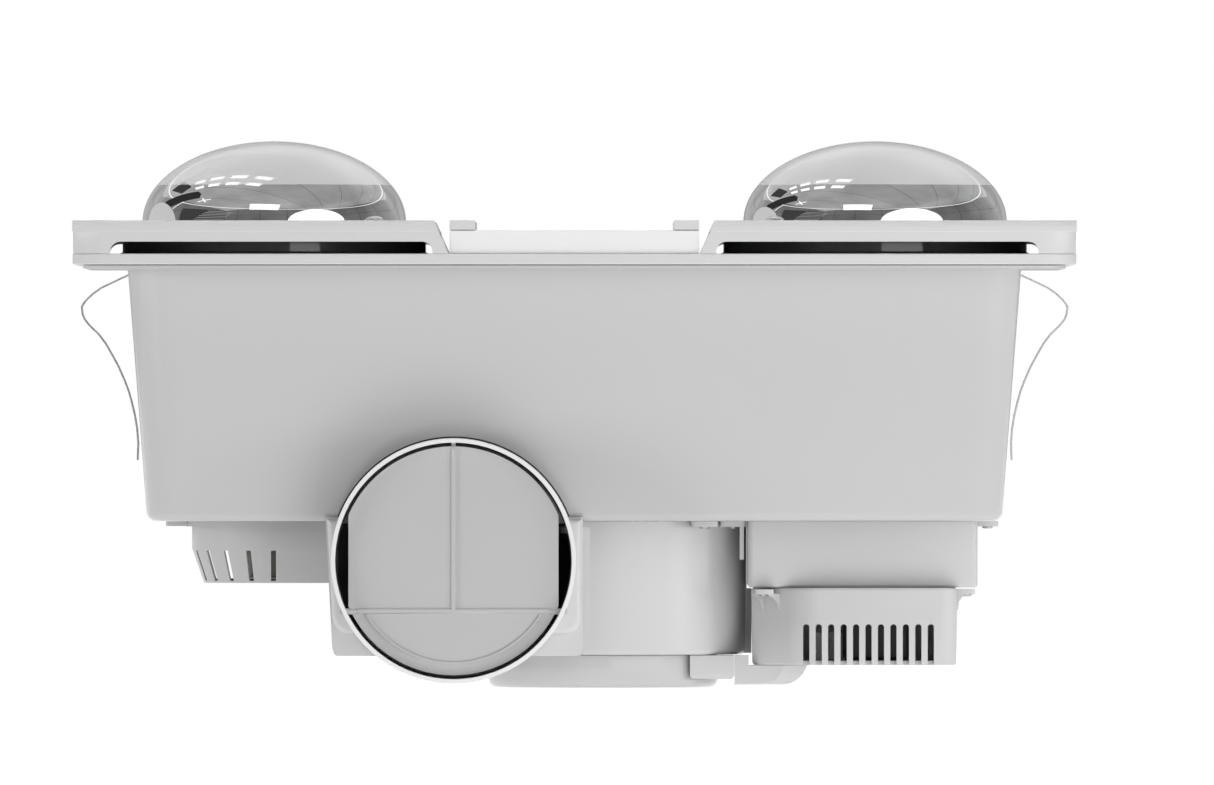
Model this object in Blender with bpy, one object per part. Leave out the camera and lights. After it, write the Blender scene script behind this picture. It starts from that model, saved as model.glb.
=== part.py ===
"""Exhaust fan with centre light and two heat lamps, resting on its back with the fascia up.

Metres, +Z up. X runs along the fascia, Y across it with the duct spigot at -Y,
and z is zero at the bottom of the motor cap.
"""

import math

import bmesh
import bpy
from mathutils import Matrix, Vector

# Clearances shared by all pieces
SEAT_GAP = 0.0003
RUNNING_GAP = 0.0004
CUT_OVERRUN = 0.003

# How finely round shapes are faceted
CORNER_STEPS = 4
FINE_STEPS = 9
ROUND_SIDES = 28
HIDDEN_SIDES = 20
SMALL_SIDES = 16
PIN_SIDES = 12
EDGE_STEPS = 3
SLOT_STEPS = 2

# Fascia: base plate, raised lamp covers, centre light
FASCIA_OVERHANG = 0.005
FASCIA_CORNER = 0.016
PLATE_HEIGHT = 0.0052
PLATE_SKIN = 0.0022
PLATE_SKIRT = 0.008
COVER_HEIGHT = 0.0156
COVER_BAND = 0.0053
COVER_WALL = 0.002
COVER_TOP = 0.0025
COVER_CORNER = 0.0012
LIGHT_LENGTH = 0.1192
LIGHT_HEIGHT = 0.0108
LIGHT_WALL = 0.002
COVER_END_DEPTH = 0.0072
TRIM_WIDTH = 0.012
TRIM_INSET = 0.002
INTAKE_LENGTH = 0.154
INTAKE_HEIGHT = 0.0057
INTAKE_CORNER = 0.005
LAMP_HOLE_GAP = 0.003
COLLAR_RADIUS = 0.0731
COLLAR_WALL = 0.0015
AIR_SLOT_LENGTH = 0.046
AIR_SLOT_WIDTH = 0.030
AIR_SLOT_SPACING = 0.052
AIR_SLOT_MARGIN = 0.025
AIR_SLOT_CORNER = 0.005
AIR_SLOTS = 3

# Housing: a tapered box with a flange
HOUSING_RIM_LENGTH = 0.4282
HOUSING_RIM_WIDTH = 0.238
HOUSING_TAPER_LONG = 0.0093
HOUSING_TAPER_WIDE = 0.009
HOUSING_DEPTH = 0.1209
HOUSING_CORNER = 0.024
HOUSING_EDGE = 0.004
HOUSING_WALL = 0.0015
FLANGE_REACH_LONG = 0.0209
FLANGE_REACH_WIDE = 0.021
FLANGE_CORNER = 0.014
FLANGE_THICKNESS = 0.0016

# Heat lamps and their holders
LAMP_X = 0.1448
LAMP_RADIUS = 0.0635
LAMP_DOME = 0.0388
LAMP_NECK_ABOVE_BACK = 0.0257
LAMP_NECK_RADIUS = 0.017
LAMP_WALL = 0.0012
LAMP_CHORD_GAP = 0.0008
LAMP_TAPER_POWER = 1.3
LAMP_TAPER_STEPS = 6
LAMP_DOME_STEPS = 5
CAP_RADIUS = 0.0132
CAP_LENGTH = 0.030
CAP_SKIRT = 0.005
CAP_TIP_RADIUS = 0.005
HOLDER_RADIUS = 0.0195
HOLDER_HEIGHT = 0.0454
HOLDER_FLOOR = 0.0074
HOLDER_BORE_GAP = 0.0008
HOLDER_HOLE_RADIUS = 0.024
REFLECTOR_BASE_RADIUS = 0.036
REFLECTOR_MOUTH_RADIUS = 0.060
REFLECTOR_HEIGHT = 0.068
REFLECTOR_WALL = 0.001
REFLECTOR_STEPS = 4

# Left lampholder cover: half round, tapering, with radial slots
CUP_RADIUS = 0.0396
CUP_FLOOR_RADIUS = 0.0329
CUP_HEIGHT = 0.0297
CUP_STRAIGHT = 0.0131
CUP_SCROLL_GAP = 0.011
CUP_WALL = 0.0016
CUP_FLOOR = 0.002
CUP_FLANGE = 0.003
CUP_FLANGE_THICKNESS = 0.0026
CUP_EAR_REACH = 0.0521
CUP_EAR_WIDTH = 0.018
CUP_SLOT_WIDTH = 0.002
CUP_SLOT_HEIGHT = 0.0135
CUP_SLOT_ANGLE = 18
CUP_SLOTS_A_SIDE = 5

# Right lampholder cover: a plain box
BOX_SCROLL_GAP = 0.0035
BOX_RIGHT = 0.1937
BOX_WIDTH = 0.094
BOX_HEIGHT = 0.0318
BOX_WALL = 0.002
BOX_CORNER = 0.003
BOX_EAR_REACH = 0.0103
BOX_EAR_WIDTH = 0.016
BOX_EAR_THICKNESS = 0.0026
PEDESTAL_RADIUS = 0.0215

# Electrics box with vent slots
ELECTRICS_INSET = 0.0024
ELECTRICS_RIGHT = 0.1834
ELECTRICS_FRONT = -0.058
ELECTRICS_REAR = 0.018
ELECTRICS_BOTTOM = 0.011
ELECTRICS_FLARE = 0.0006
ELECTRICS_WALL = 0.002
ELECTRICS_LIP = 0.0008
ELECTRICS_LIP_INSET = 0.0009
ELECTRICS_CHAMFER_X = 0.0235
ELECTRICS_CHAMFER_Y = 0.026
ELECTRICS_CORNER = 0.008
ELECTRICS_REAR_CORNER = 0.003
VENT_FIRST_X = 0.1113
VENT_SPACING = 0.00598
VENT_WIDTH = 0.0034
VENT_HEIGHT = 0.0196
VENT_FLOOR_CUT = 0.003
VENTS = 11
EAR_THICKNESS = 0.0024
GUSSET_THICKNESS = 0.0015
LEFT_EAR_INSET = 0.0009
LEFT_EAR_LENGTH = 0.0092
LEFT_EAR_FRONT = -0.056
LEFT_EAR_REAR = -0.028
LEFT_GUSSET_DROP = 0.006
RIGHT_EAR_RIGHT = 0.1925
RIGHT_EAR_WIDTH = 0.014
RIGHT_EAR_Y = -0.030
RIGHT_GUSSET_REACH = 0.0042
RIGHT_GUSSET_DROP = 0.0075
BUSH_Z = 0.034
BUSH_X = 0.150
BUSH_RADIUS = 0.0055
BUSH_FLANGE = 0.0018
BUSH_BORE = 0.0032

# Fan scroll, its outlet and the impeller
FAN_X = 0.0137
FAN_Y = 0.005
SCROLL_HEIGHT = 0.0642
SCROLL_WALL = 0.002
SCROLL_EDGE = 0.004
IMPELLER_RUN_GAP = 0.008
SCROLL_GROWTH = 0.046
SCROLL_GROWTH_POWER = 2.77
SCROLL_START = -105
SCROLL_TONGUE = -100
SCROLL_END = 180
SCROLL_STEPS = 28
MOUTH_INSET = 0.0093
MOUTH_LEFT = -0.1158
MOUTH_RIGHT = 0.0045
MOUTH_RIB_REACH = 0.0029
MOUTH_RIB_DEPTH = 0.0025
MOUTH_RIB_INSET = 0.0027
MOTOR_HOLE_RADIUS = 0.042
TAB_THICKNESS = 0.0026
TAB_LENGTH = 0.0129
TAB_REACH = 0.018
FIRST_TAB_X_SHARE = 0.639394
FIRST_TAB_Y_SHARE = -0.939394
SECOND_TAB_X_SHARE = 0.851515
SECOND_TAB_Y_SHARE = -0.681818
HOOK_THICKNESS = 0.002
HOOK_DROP = 0.0158
HOOK_WIDTH = 0.006
HOOK_INSET = 0.0014
INLET_HOLE_REACH = 0.0068
INLET_THROAT_INSET = 0.003
INLET_CURVE = 0.007
INLET_WALL = 0.0015
INLET_FLANGE_REACH = 0.014
INLET_DIP = 0.0109
IMPELLER_RADIUS = 0.058
BLADE_DEPTH = 0.011
IMPELLER_HEIGHT = 0.045
IMPELLER_PLATE = 0.0015
IMPELLER_RING = 0.0025
IMPELLER_HUB_RADIUS = 0.009
IMPELLER_HUB_HEIGHT = 0.018
IMPELLER_CLEARANCE = 0.0034
BLADES = 30
BLADE_THICKNESS = 0.0011
BLADE_STEPS = 3
BLADE_SWEEP = 15

# Motor under the scroll
MOTOR_CAP_RADIUS = 0.05515
MOTOR_CAP_HEIGHT = 0.0155
MOTOR_CAP_EDGE = 0.004
MOTOR_CAP_WALL = 0.0015
SHAFT_RADIUS = 0.003
BEARING_RADIUS = 0.008
BEARING_HEIGHT = 0.004
BOSS_WALL = 0.002
STATOR_RADIUS = 0.038
STATOR_HEIGHT = 0.0088
STATOR_BASE = 0.0064
STATOR_SEAT_WIDTH = 0.006
ROTOR_RADIUS = 0.019
AIR_GAP = 0.0007
WINDING_INNER_RADIUS = 0.0215
WINDING_OUTER_RADIUS = 0.0275
WINDING_HEIGHT = 0.0024
WINDOWS = 4
WINDOW_WIDTH = 0.008
WINDOW_GAP = 0.0005
BRACKET_RADIUS = 0.050
BRACKET_THICKNESS = 0.0015
BRACKET_BOSS_HEIGHT = 0.0075
BRACKET_LIP = 0.0033

# Lead conduit from the motor cap to the electrics box
BLOCK_LEFT = 0.0554
BLOCK_ELECTRICS_GAP = 0.0086
BLOCK_BOTTOM = 0.0041
BLOCK_FRONT = -0.036
BLOCK_REAR = -0.008
BLOCK_EDGE = 0.002
ELBOW_RIGHT = 0.1122
ELBOW_BOTTOM = 0.0014
ELBOW_CURVE = 0.0125
ELBOW_TAPER_X = 0.016
ELBOW_TAPER_Y = 0.010

# Duct adaptor: rectangular flange lofted to a round spigot
FLANGE_BLOCK_REACH = 0.0034
FLANGE_BLOCK_INSET = 0.0004
FLANGE_BLOCK_TOP = 0.0822
FLANGE_BLOCK_DEPTH = 0.003
FLANGE_BLOCK_CORNER = 0.005
FLANGE_BLOCK_DRAFT = 0.0034
ADAPTOR_LOFT = 0.009
SPIGOT_X = -0.0583
SPIGOT_Z = 0.0615
SPIGOT_RADIUS = 0.0586
SPIGOT_WALL = 0.0021
SPIGOT_LENGTH = 0.0227

# Damper flap
FLAP_INSET = 0.0069
FLAP_THICKNESS = 0.0014
FLAP_RADIUS = 0.0547
FLAP_HALF_WIDTH = 0.0502
FLAP_STEPS = 36
PIVOT_DROP = 0.0242
PIVOT_RADIUS = 0.0015
PIVOT_REACH = 0.0543
PIVOT_ROOT = 0.046
PIVOT_HOLE_GAP = 0.0004
FLAP_RIB_WIDTH = 0.002
FLAP_RIB_HEIGHT = 0.0009
FLAP_ARC_RIB_RADIUS = 0.0494
FLAP_ARC_RIB_WIDTH = 0.0009
STOP_WIDTH = 0.002
STOP_REACH = 0.006
STOP_DEPTH = 0.003

# Spring clips on the end walls
CLIP_WIDTH = 0.016
CLIP_THICKNESS = 0.0008
CLIP_PIN_INSET = 0.0046
CLIP_PIN_DROP = 0.004
CLIP_PIN_RADIUS = 0.001
CLIP_PIN_LENGTH = 0.023
CLIP_EYE_GAP = 0.0003
CLIP_REACH = 0.0274
CLIP_DROP = 0.0156
CLIP_TAIL_RUN = 0.0276
CLIP_TAIL_DROP = 0.0722
CLIP_SPLIT_GAP = 0.0003
CLIP_ARM_SHARES = ((-0.03, 0.0), (0.16, 0.05), (0.66, -0.33), (0.90, -0.70), (0.985, -0.88))
CLIP_TAIL_SHARES = ((0.05, 0.06), (0.30, 0.165), (0.535, 0.30), (0.755, 0.47), (0.885, 0.62),
                    (0.975, 0.79), (1.0, 1.0))
SLOT_MARGIN = 0.0015
SLOT_BELOW_PIN = 0.0042
SLOT_ABOVE_PIN = 0.0034
CLIP_BRACKET_THICKNESS = 0.001
CLIP_BRACKET_BASE = 0.013
CLIP_BRACKET_DROP = 0.0055
CLIP_EAR_ABOVE = 0.003
CLIP_EAR_INSET = 0.003

# Small parts of the circuits
BOARD_SIDE_GAP = 0.0146
BOARD_END_GAP = 0.023
BOARD_THICKNESS = 0.0016
DRIVER_LENGTH = 0.044
DRIVER_WIDTH = 0.084
DRIVER_HEIGHT = 0.017
DRIVER_WALL_GAP = 0.0096
DRIVER_CORNER = 0.002
TERMINAL_LENGTH = 0.044
TERMINAL_WIDTH = 0.016
TERMINAL_HEIGHT = 0.013
TERMINAL_X = 0.135
TERMINAL_Y = -0.006
TERMINAL_STEP = 0.004
TERMINAL_WAYS = 5
TERMINAL_GROOVE = 0.0012
CAPACITOR_LENGTH = 0.032
CAPACITOR_WIDTH = 0.013
CAPACITOR_HEIGHT = 0.022
CAPACITOR_X = 0.145
CAPACITOR_Y = -0.033
CAPACITOR_EDGE = 0.0015

# Plan sizes that follow the housing
FLANGE_LENGTH = HOUSING_RIM_LENGTH + 2 * FLANGE_REACH_LONG
FLANGE_WIDTH = HOUSING_RIM_WIDTH + 2 * FLANGE_REACH_WIDE
FASCIA_LENGTH = FLANGE_LENGTH + 2 * FASCIA_OVERHANG
FASCIA_WIDTH = FLANGE_WIDTH + 2 * FASCIA_OVERHANG

CLIP_PIN_X = HOUSING_RIM_LENGTH / 2 - CLIP_PIN_INSET

# The fan's plan sizes follow its impeller, and its mouth follows the housing's front
SCROLL_START_RADIUS = IMPELLER_RADIUS + IMPELLER_RUN_GAP
IMPELLER_EYE_RADIUS = IMPELLER_RADIUS - BLADE_DEPTH
INLET_THROAT_RADIUS = IMPELLER_EYE_RADIUS - INLET_THROAT_INSET
INLET_HOLE_RADIUS = INLET_THROAT_RADIUS + INLET_HOLE_REACH
INLET_FLANGE_RADIUS = INLET_THROAT_RADIUS + INLET_FLANGE_REACH
FIRST_TAB_X = FAN_X + SCROLL_START_RADIUS * FIRST_TAB_X_SHARE
FIRST_TAB_Y = FAN_Y + SCROLL_START_RADIUS * FIRST_TAB_Y_SHARE
SECOND_TAB_X = FAN_X + SCROLL_START_RADIUS * SECOND_TAB_X_SHARE
SECOND_TAB_Y = FAN_Y + SCROLL_START_RADIUS * SECOND_TAB_Y_SHARE
BOX_LEFT = FAN_X + SCROLL_START_RADIUS + BOX_SCROLL_GAP
ELECTRICS_LEFT = BOX_LEFT + ELECTRICS_INSET
LEFT_EAR_X = ELECTRICS_LEFT + LEFT_EAR_INSET
BLOCK_RIGHT = ELECTRICS_LEFT - BLOCK_ELECTRICS_GAP
CUP_REACH = LAMP_X + FAN_X - SCROLL_START_RADIUS - SCROLL_GROWTH - CUP_SCROLL_GAP
MOUTH_Y = MOUTH_INSET - HOUSING_RIM_WIDTH / 2
FLANGE_BLOCK_LEFT = MOUTH_LEFT - FLANGE_BLOCK_REACH
FLANGE_BLOCK_RIGHT = MOUTH_RIGHT - FLANGE_BLOCK_INSET

# Heights worked out from the stack of pieces
SCROLL_BOTTOM = MOTOR_CAP_HEIGHT + SEAT_GAP
SCROLL_TOP = SCROLL_BOTTOM + SCROLL_HEIGHT
BACK = SCROLL_TOP + SEAT_GAP
BACK_INSIDE = BACK + HOUSING_WALL
FLANGE_BOTTOM = BACK + HOUSING_DEPTH
FLANGE_TOP = FLANGE_BOTTOM + FLANGE_THICKNESS
PLATE_BOTTOM = FLANGE_TOP + SEAT_GAP
PLATE_TOP = PLATE_BOTTOM + PLATE_HEIGHT
COVER_BOTTOM = PLATE_TOP + SEAT_GAP
COVER_CREST = COVER_BOTTOM + COVER_HEIGHT
LIGHT_TOP = COVER_BOTTOM + LIGHT_HEIGHT
LAMP_NECK = BACK + LAMP_NECK_ABOVE_BACK
LAMP_TAPER = COVER_CREST - LAMP_NECK
CAP_TOP = LAMP_NECK - SEAT_GAP
CAP_BOTTOM = CAP_TOP - CAP_LENGTH
CUP_BOTTOM = SCROLL_TOP - CUP_HEIGHT
HOLDER_BOTTOM = CUP_BOTTOM + CUP_FLOOR + SEAT_GAP
BOX_BOTTOM = SCROLL_TOP - BOX_HEIGHT
ELECTRICS_TOP = BOX_BOTTOM - SEAT_GAP
SCROLL_FLOOR_TOP = SCROLL_BOTTOM + SCROLL_WALL
BRACKET_BOTTOM = SCROLL_FLOOR_TOP + SEAT_GAP
BRACKET_TOP = BRACKET_BOTTOM + BRACKET_THICKNESS
BOSS_TOP = BRACKET_BOTTOM + BRACKET_BOSS_HEIGHT
IMPELLER_BOTTOM = BOSS_TOP + IMPELLER_CLEARANCE
IMPELLER_TOP = IMPELLER_BOTTOM + IMPELLER_HEIGHT
PIVOT_Z = SPIGOT_Z - PIVOT_DROP
CLIP_PIN_Z = FLANGE_BOTTOM - CLIP_PIN_DROP
ADAPTOR_BACK = MOUTH_Y - SEAT_GAP
ADAPTOR_FACE = ADAPTOR_BACK - FLANGE_BLOCK_DEPTH
SPIGOT_BACK = ADAPTOR_FACE - ADAPTOR_LOFT
SPIGOT_FRONT = SPIGOT_BACK - SPIGOT_LENGTH
FLAP_Y = SPIGOT_FRONT + FLAP_INSET

WHITE = ((0.86, 0.86, 0.85), 0.0, 0.38)
SHELL = ((0.74, 0.74, 0.73), 0.0, 0.45)
SHEET = ((0.62, 0.62, 0.62), 0.6, 0.42)
STEEL = ((0.60, 0.60, 0.60), 1.0, 0.32)
DARK = ((0.08, 0.08, 0.08), 0.0, 0.55)
COPPER = ((0.72, 0.36, 0.18), 1.0, 0.35)
CERAMIC = ((0.85, 0.83, 0.78), 0.0, 0.40)
MIRROR = ((0.80, 0.80, 0.80), 1.0, 0.08)
BOARD = ((0.88, 0.88, 0.86), 0.0, 0.50)
BRASS = ((0.72, 0.56, 0.28), 1.0, 0.35)
FLAP = ((0.62, 0.62, 0.61), 0.0, 0.45)


def rounded_outline(low, high, radii, steps=CORNER_STEPS):
    """Rectangle from low to high, counter-clockwise, with one radius for each corner from +u+v round."""
    signs = ((1, 1), (-1, 1), (-1, -1), (1, -1))
    points = []
    for corner, (side_u, side_v) in enumerate(signs):
        radius = radii[corner]
        centre_u = high[0] - radius if side_u > 0 else low[0] + radius
        centre_v = high[1] - radius if side_v > 0 else low[1] + radius
        for step in range(steps + 1):
            angle = math.radians(90) * (corner + step / steps)
            points.append((centre_u + radius * math.cos(angle), centre_v + radius * math.sin(angle)))
    return points


def centred_outline(length, width, radius, steps=CORNER_STEPS):
    half = (length / 2, width / 2)
    return rounded_outline((-half[0], -half[1]), half, (radius,) * 4, steps)


def level(outline, z):
    return [(x, y, z) for x, y in outline]


def upright(outline, y):
    """An outline in X and Z, set in the plane of this y."""
    return [(x, y, z) for x, z in outline]


def circle(radius, count, start=0.0):
    turn = [math.radians(start + 360 * step / count) for step in range(count)]
    return [(radius * math.cos(angle), radius * math.sin(angle)) for angle in turn]


def lofted(sections):
    """A closed solid through outlines of equal count, one extrusion for each further outline."""
    shape = bmesh.new()
    face = shape.faces.new([shape.verts.new(point) for point in sections[0]])
    for count, section in enumerate(sections[1:]):
        grown = bmesh.ops.extrude_face_region(shape, geom=[face])["geom"]
        if count and face.is_valid:
            shape.faces.remove(face)
        face = next(item for item in grown if isinstance(item, bmesh.types.BMFace))
        for vert, point in zip(face.verts, section):
            vert.co = point
    bmesh.ops.recalc_face_normals(shape, faces=shape.faces)
    return shape


def prism(outline, low, high):
    return lofted([level(outline, low), level(outline, high)])


def block(low, high):
    shape = bmesh.new()
    bmesh.ops.create_cube(shape, size=1)
    size = Vector(high) - Vector(low)
    middle = (Vector(high) + Vector(low)) / 2
    bmesh.ops.scale(shape, vec=size, verts=shape.verts)
    bmesh.ops.translate(shape, vec=middle, verts=shape.verts)
    return shape


def rod(radius, start, end, sides=PIN_SIDES):
    shape = bmesh.new()
    start, end = Vector(start), Vector(end)
    bmesh.ops.create_cone(shape, cap_ends=True, segments=sides, radius1=radius, radius2=radius,
                          depth=(end - start).length)
    turn = (end - start).to_track_quat("Z", "Y").to_matrix().to_4x4()
    bmesh.ops.transform(shape, matrix=Matrix.Translation((start + end) / 2) @ turn, verts=shape.verts)
    return shape


def turned(profile, sides=ROUND_SIDES, at=(0, 0)):
    """A closed profile of (radius, z) spun about a vertical axis."""
    shape = bmesh.new()
    verts = [shape.verts.new((radius, 0, z)) for radius, z in profile]
    edges = [shape.edges.new((verts[i - 1], verts[i])) for i in range(len(verts))]
    bmesh.ops.spin(shape, geom=verts + edges, cent=(0, 0, 0), axis=(0, 0, 1),
                   angle=math.radians(360), steps=sides, use_merge=True)
    bmesh.ops.remove_doubles(shape, verts=shape.verts, dist=SEAT_GAP / 100)
    bmesh.ops.recalc_face_normals(shape, faces=shape.faces)
    bmesh.ops.translate(shape, vec=(at[0], at[1], 0), verts=shape.verts)
    return shape


def bevel_where(shape, width, test, segments=1):
    """Bevels the edges whose two ends both pass the test."""
    edges = [edge for edge in shape.edges if all(test(vert.co) for vert in edge.verts)]
    bmesh.ops.bevel(shape, geom=edges, offset=width, segments=segments, profile=0.5,
                    affect="EDGES", clamp_overlap=True)
    return shape


def merged(shapes):
    """One bmesh that holds several separate shapes."""
    whole = bmesh.new()
    for shape in shapes:
        mesh = bpy.data.meshes.new("joined")
        shape.to_mesh(mesh)
        shape.free()
        whole.from_mesh(mesh)
        bpy.data.meshes.remove(mesh)
    return whole


def new_object(name, shape):
    mesh = bpy.data.meshes.new(name)
    shape.to_mesh(mesh)
    shape.free()
    thing = bpy.data.objects.new(name, mesh)
    bpy.context.scene.collection.objects.link(thing)
    return thing


def combine(piece, operation, shapes):
    for count, shape in enumerate(shapes):
        helper = new_object(f"{piece.name}_{operation.lower()}_{len(piece.modifiers)}_{count}", shape)
        helper.hide_render = True
        helper.display_type = "WIRE"
        step = piece.modifiers.new(helper.name, "BOOLEAN")
        step.operation = operation
        step.object = helper
        step.solver = "EXACT"


def sub_part(name, shape, finish, add=(), cut=(), carrier=None):
    """One named piece with its own material, its joined and cut shapes, and its joint's empty."""
    piece = new_object(name, shape)
    colour, metallic, roughness = finish
    material = bpy.data.materials.new(name)
    material.use_nodes = True
    shader = material.node_tree.nodes["Principled BSDF"]
    shader.inputs["Base Color"].default_value = (*colour, 1)
    shader.inputs["Metallic"].default_value = metallic
    shader.inputs["Roughness"].default_value = roughness
    piece.data.materials.append(material)
    piece.data.shade_smooth()
    piece.data.set_sharp_from_angle(angle=math.radians(35))
    combine(piece, "UNION", add)
    combine(piece, "DIFFERENCE", cut)
    if carrier:
        piece.parent = carrier
        piece.matrix_parent_inverse = Matrix.Translation(carrier.location).inverted()
    return piece


def joint_empty(name, place):
    empty = bpy.data.objects.new(name, None)
    empty.location = place
    bpy.context.scene.collection.objects.link(empty)
    return empty


def sides():
    return (("left", -1), ("right", 1))


def housing_half(z, inset=0.0):
    """Half length and half width of the tapered housing at a height."""
    share = (z - BACK) / HOUSING_DEPTH
    return (HOUSING_RIM_LENGTH / 2 - HOUSING_TAPER_LONG * (1 - share) - inset,
            HOUSING_RIM_WIDTH / 2 - HOUSING_TAPER_WIDE * (1 - share) - inset)


def housing_shape(wall, bottom, top):
    """The housing's outer or inner solid, with its rounded back edge."""
    edge = HOUSING_EDGE - wall
    sections = []
    for step in range(EDGE_STEPS + 1):
        angle = math.radians(90) * step / EDGE_STEPS
        z = bottom + edge * (1 - math.cos(angle))
        half = housing_half(z, wall + edge * (1 - math.sin(angle)))
        corner = HOUSING_CORNER - wall - edge * (1 - math.sin(angle))
        sections.append(level(centred_outline(2 * half[0], 2 * half[1], corner), z))
    half = housing_half(top, wall)
    sections.append(level(centred_outline(2 * half[0], 2 * half[1], HOUSING_CORNER - wall), top))
    return lofted(sections)


def make_housing():
    flange = prism(centred_outline(FLANGE_LENGTH, FLANGE_WIDTH, FLANGE_CORNER), FLANGE_BOTTOM, FLANGE_TOP)
    inside = housing_shape(HOUSING_WALL, BACK_INSIDE, FLANGE_TOP + CUT_OVERRUN)
    low, high = BACK - CUT_OVERRUN, BACK_INSIDE + CUT_OVERRUN
    holes = [rod(INLET_HOLE_RADIUS, (FAN_X, FAN_Y, low), (FAN_X, FAN_Y, high), ROUND_SIDES)]
    slots = []
    half_slot = CLIP_WIDTH / 2 + SLOT_MARGIN
    for _, side in sides():
        place = side * LAMP_X
        holes.append(rod(HOLDER_HOLE_RADIUS, (place, 0, low), (place, 0, high), SMALL_SIDES))
        ends = sorted((side * (CLIP_PIN_X - CUT_OVERRUN), side * (HOUSING_RIM_LENGTH / 2 + CUT_OVERRUN)))
        slots.append(block((ends[0], -half_slot, CLIP_PIN_Z - SLOT_BELOW_PIN),
                           (ends[1], half_slot, CLIP_PIN_Z + SLOT_ABOVE_PIN)))
    sub_part("housing", housing_shape(0.0, BACK, FLANGE_TOP), SHEET,
             add=[flange], cut=[inside, merged(holes), merged(slots)])


def make_fascia_plate(fascia):
    plate = prism(centred_outline(FASCIA_LENGTH, FASCIA_WIDTH, FASCIA_CORNER), PLATE_BOTTOM, PLATE_TOP)
    under = prism(centred_outline(FASCIA_LENGTH - 2 * PLATE_SKIRT, FASCIA_WIDTH - 2 * PLATE_SKIRT,
                                  FASCIA_CORNER - PLATE_SKIRT),
                  PLATE_BOTTOM - CUT_OVERRUN, PLATE_TOP - PLATE_SKIN)
    low, high = PLATE_BOTTOM - CUT_OVERRUN, PLATE_TOP + CUT_OVERRUN
    holes = []
    hole_radius = COLLAR_RADIUS - COLLAR_WALL - LAMP_HOLE_GAP
    for _, side in sides():
        place = side * LAMP_X
        holes.append(rod(hole_radius, (place, 0, low), (place, 0, high), ROUND_SIDES))
        for slot in range(AIR_SLOTS):
            middle = place + AIR_SLOT_SPACING * (slot - (AIR_SLOTS - 1) / 2)
            for across in (-1, 1):
                out = FASCIA_WIDTH / 2 - AIR_SLOT_MARGIN
                low_y, high_y = sorted((across * (out - AIR_SLOT_WIDTH), across * out))
                outline = rounded_outline((middle - AIR_SLOT_LENGTH / 2, low_y),
                                          (middle + AIR_SLOT_LENGTH / 2, high_y), (AIR_SLOT_CORNER,) * 4, 1)
                holes.append(prism(outline, low, high))
    sub_part("fascia_plate", plate, WHITE, cut=[under, merged(holes)], carrier=fascia)


def cover_shape(side, inset, low, high, corner, slope_inset):
    """A raised cover's solid: outer corners of one radius, and an inboard end that leans."""
    outer = FASCIA_LENGTH / 2 - inset
    inner = LIGHT_LENGTH / 2 + SEAT_GAP + slope_inset
    half = FASCIA_WIDTH / 2 - inset
    small = COVER_CORNER
    radii = (corner, small, small, corner) if side > 0 else (small, corner, corner, small)
    ends = sorted((side * inner, side * outer))
    return prism(rounded_outline((ends[0], -half), (ends[1], half), radii), low, high)


def leaning_cut(shape, side, inset):
    """Cuts the inboard end of a cover along its slope."""
    normal = Vector((-side * COVER_HEIGHT, 0, COVER_END_DEPTH)).normalized()
    foot = Vector((side * (LIGHT_LENGTH / 2 + SEAT_GAP + inset), 0, COVER_BOTTOM))
    found = bmesh.ops.bisect_plane(shape, geom=shape.verts[:] + shape.edges[:] + shape.faces[:],
                                   dist=SEAT_GAP / 100, plane_co=foot, plane_no=normal, clear_outer=True)
    rim = [item for item in found["geom_cut"] if isinstance(item, bmesh.types.BMEdge)]
    bmesh.ops.contextual_create(shape, geom=rim)
    bmesh.ops.recalc_face_normals(shape, faces=shape.faces)
    return shape


def make_lamp_covers(fascia):
    for name, side in sides():
        band_bottom = COVER_CREST - COVER_BAND
        skirt = cover_shape(side, 0.0, COVER_BOTTOM, band_bottom + COVER_CORNER, FASCIA_CORNER, 0.0)
        band = cover_shape(side, 0.0, band_bottom, COVER_CREST, COVER_CORNER, 0.0)
        crest = COVER_CREST - COVER_CORNER / 10
        bevel_where(band, COVER_CORNER, lambda place: place.z > crest, 2)
        inside = cover_shape(side, COVER_WALL, COVER_BOTTOM - CUT_OVERRUN, COVER_CREST - COVER_TOP,
                             FASCIA_CORNER - COVER_WALL, COVER_WALL)
        place = side * LAMP_X
        hole = rod(LAMP_RADIUS + LAMP_HOLE_GAP, (place, 0, band_bottom - CUT_OVERRUN),
                   (place, 0, COVER_CREST + CUT_OVERRUN), ROUND_SIDES)
        half = INTAKE_LENGTH / 2
        window = rounded_outline((place - half, COVER_BOTTOM - INTAKE_HEIGHT),
                                 (place + half, COVER_BOTTOM + INTAKE_HEIGHT), (INTAKE_CORNER,) * 4, EDGE_STEPS)
        reach = FASCIA_WIDTH / 2 + CUT_OVERRUN
        intake = lofted([upright(window, -reach), upright(window, reach)])
        sub_part(f"lamp_cover_{name}", leaning_cut(skirt, side, 0.0), WHITE,
                 add=[leaning_cut(band, side, 0.0)],
                 cut=[leaning_cut(inside, side, COVER_WALL), hole, intake], carrier=fascia)
        top = COVER_CREST - COVER_TOP - SEAT_GAP
        inner = COLLAR_RADIUS - COLLAR_WALL
        collar = turned(((inner, COVER_BOTTOM), (COLLAR_RADIUS, COVER_BOTTOM), (COLLAR_RADIUS, top), (inner, top)),
                        at=(place, 0))
        sub_part(f"lamp_collar_{name}", collar, DARK, carrier=fascia)


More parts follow.
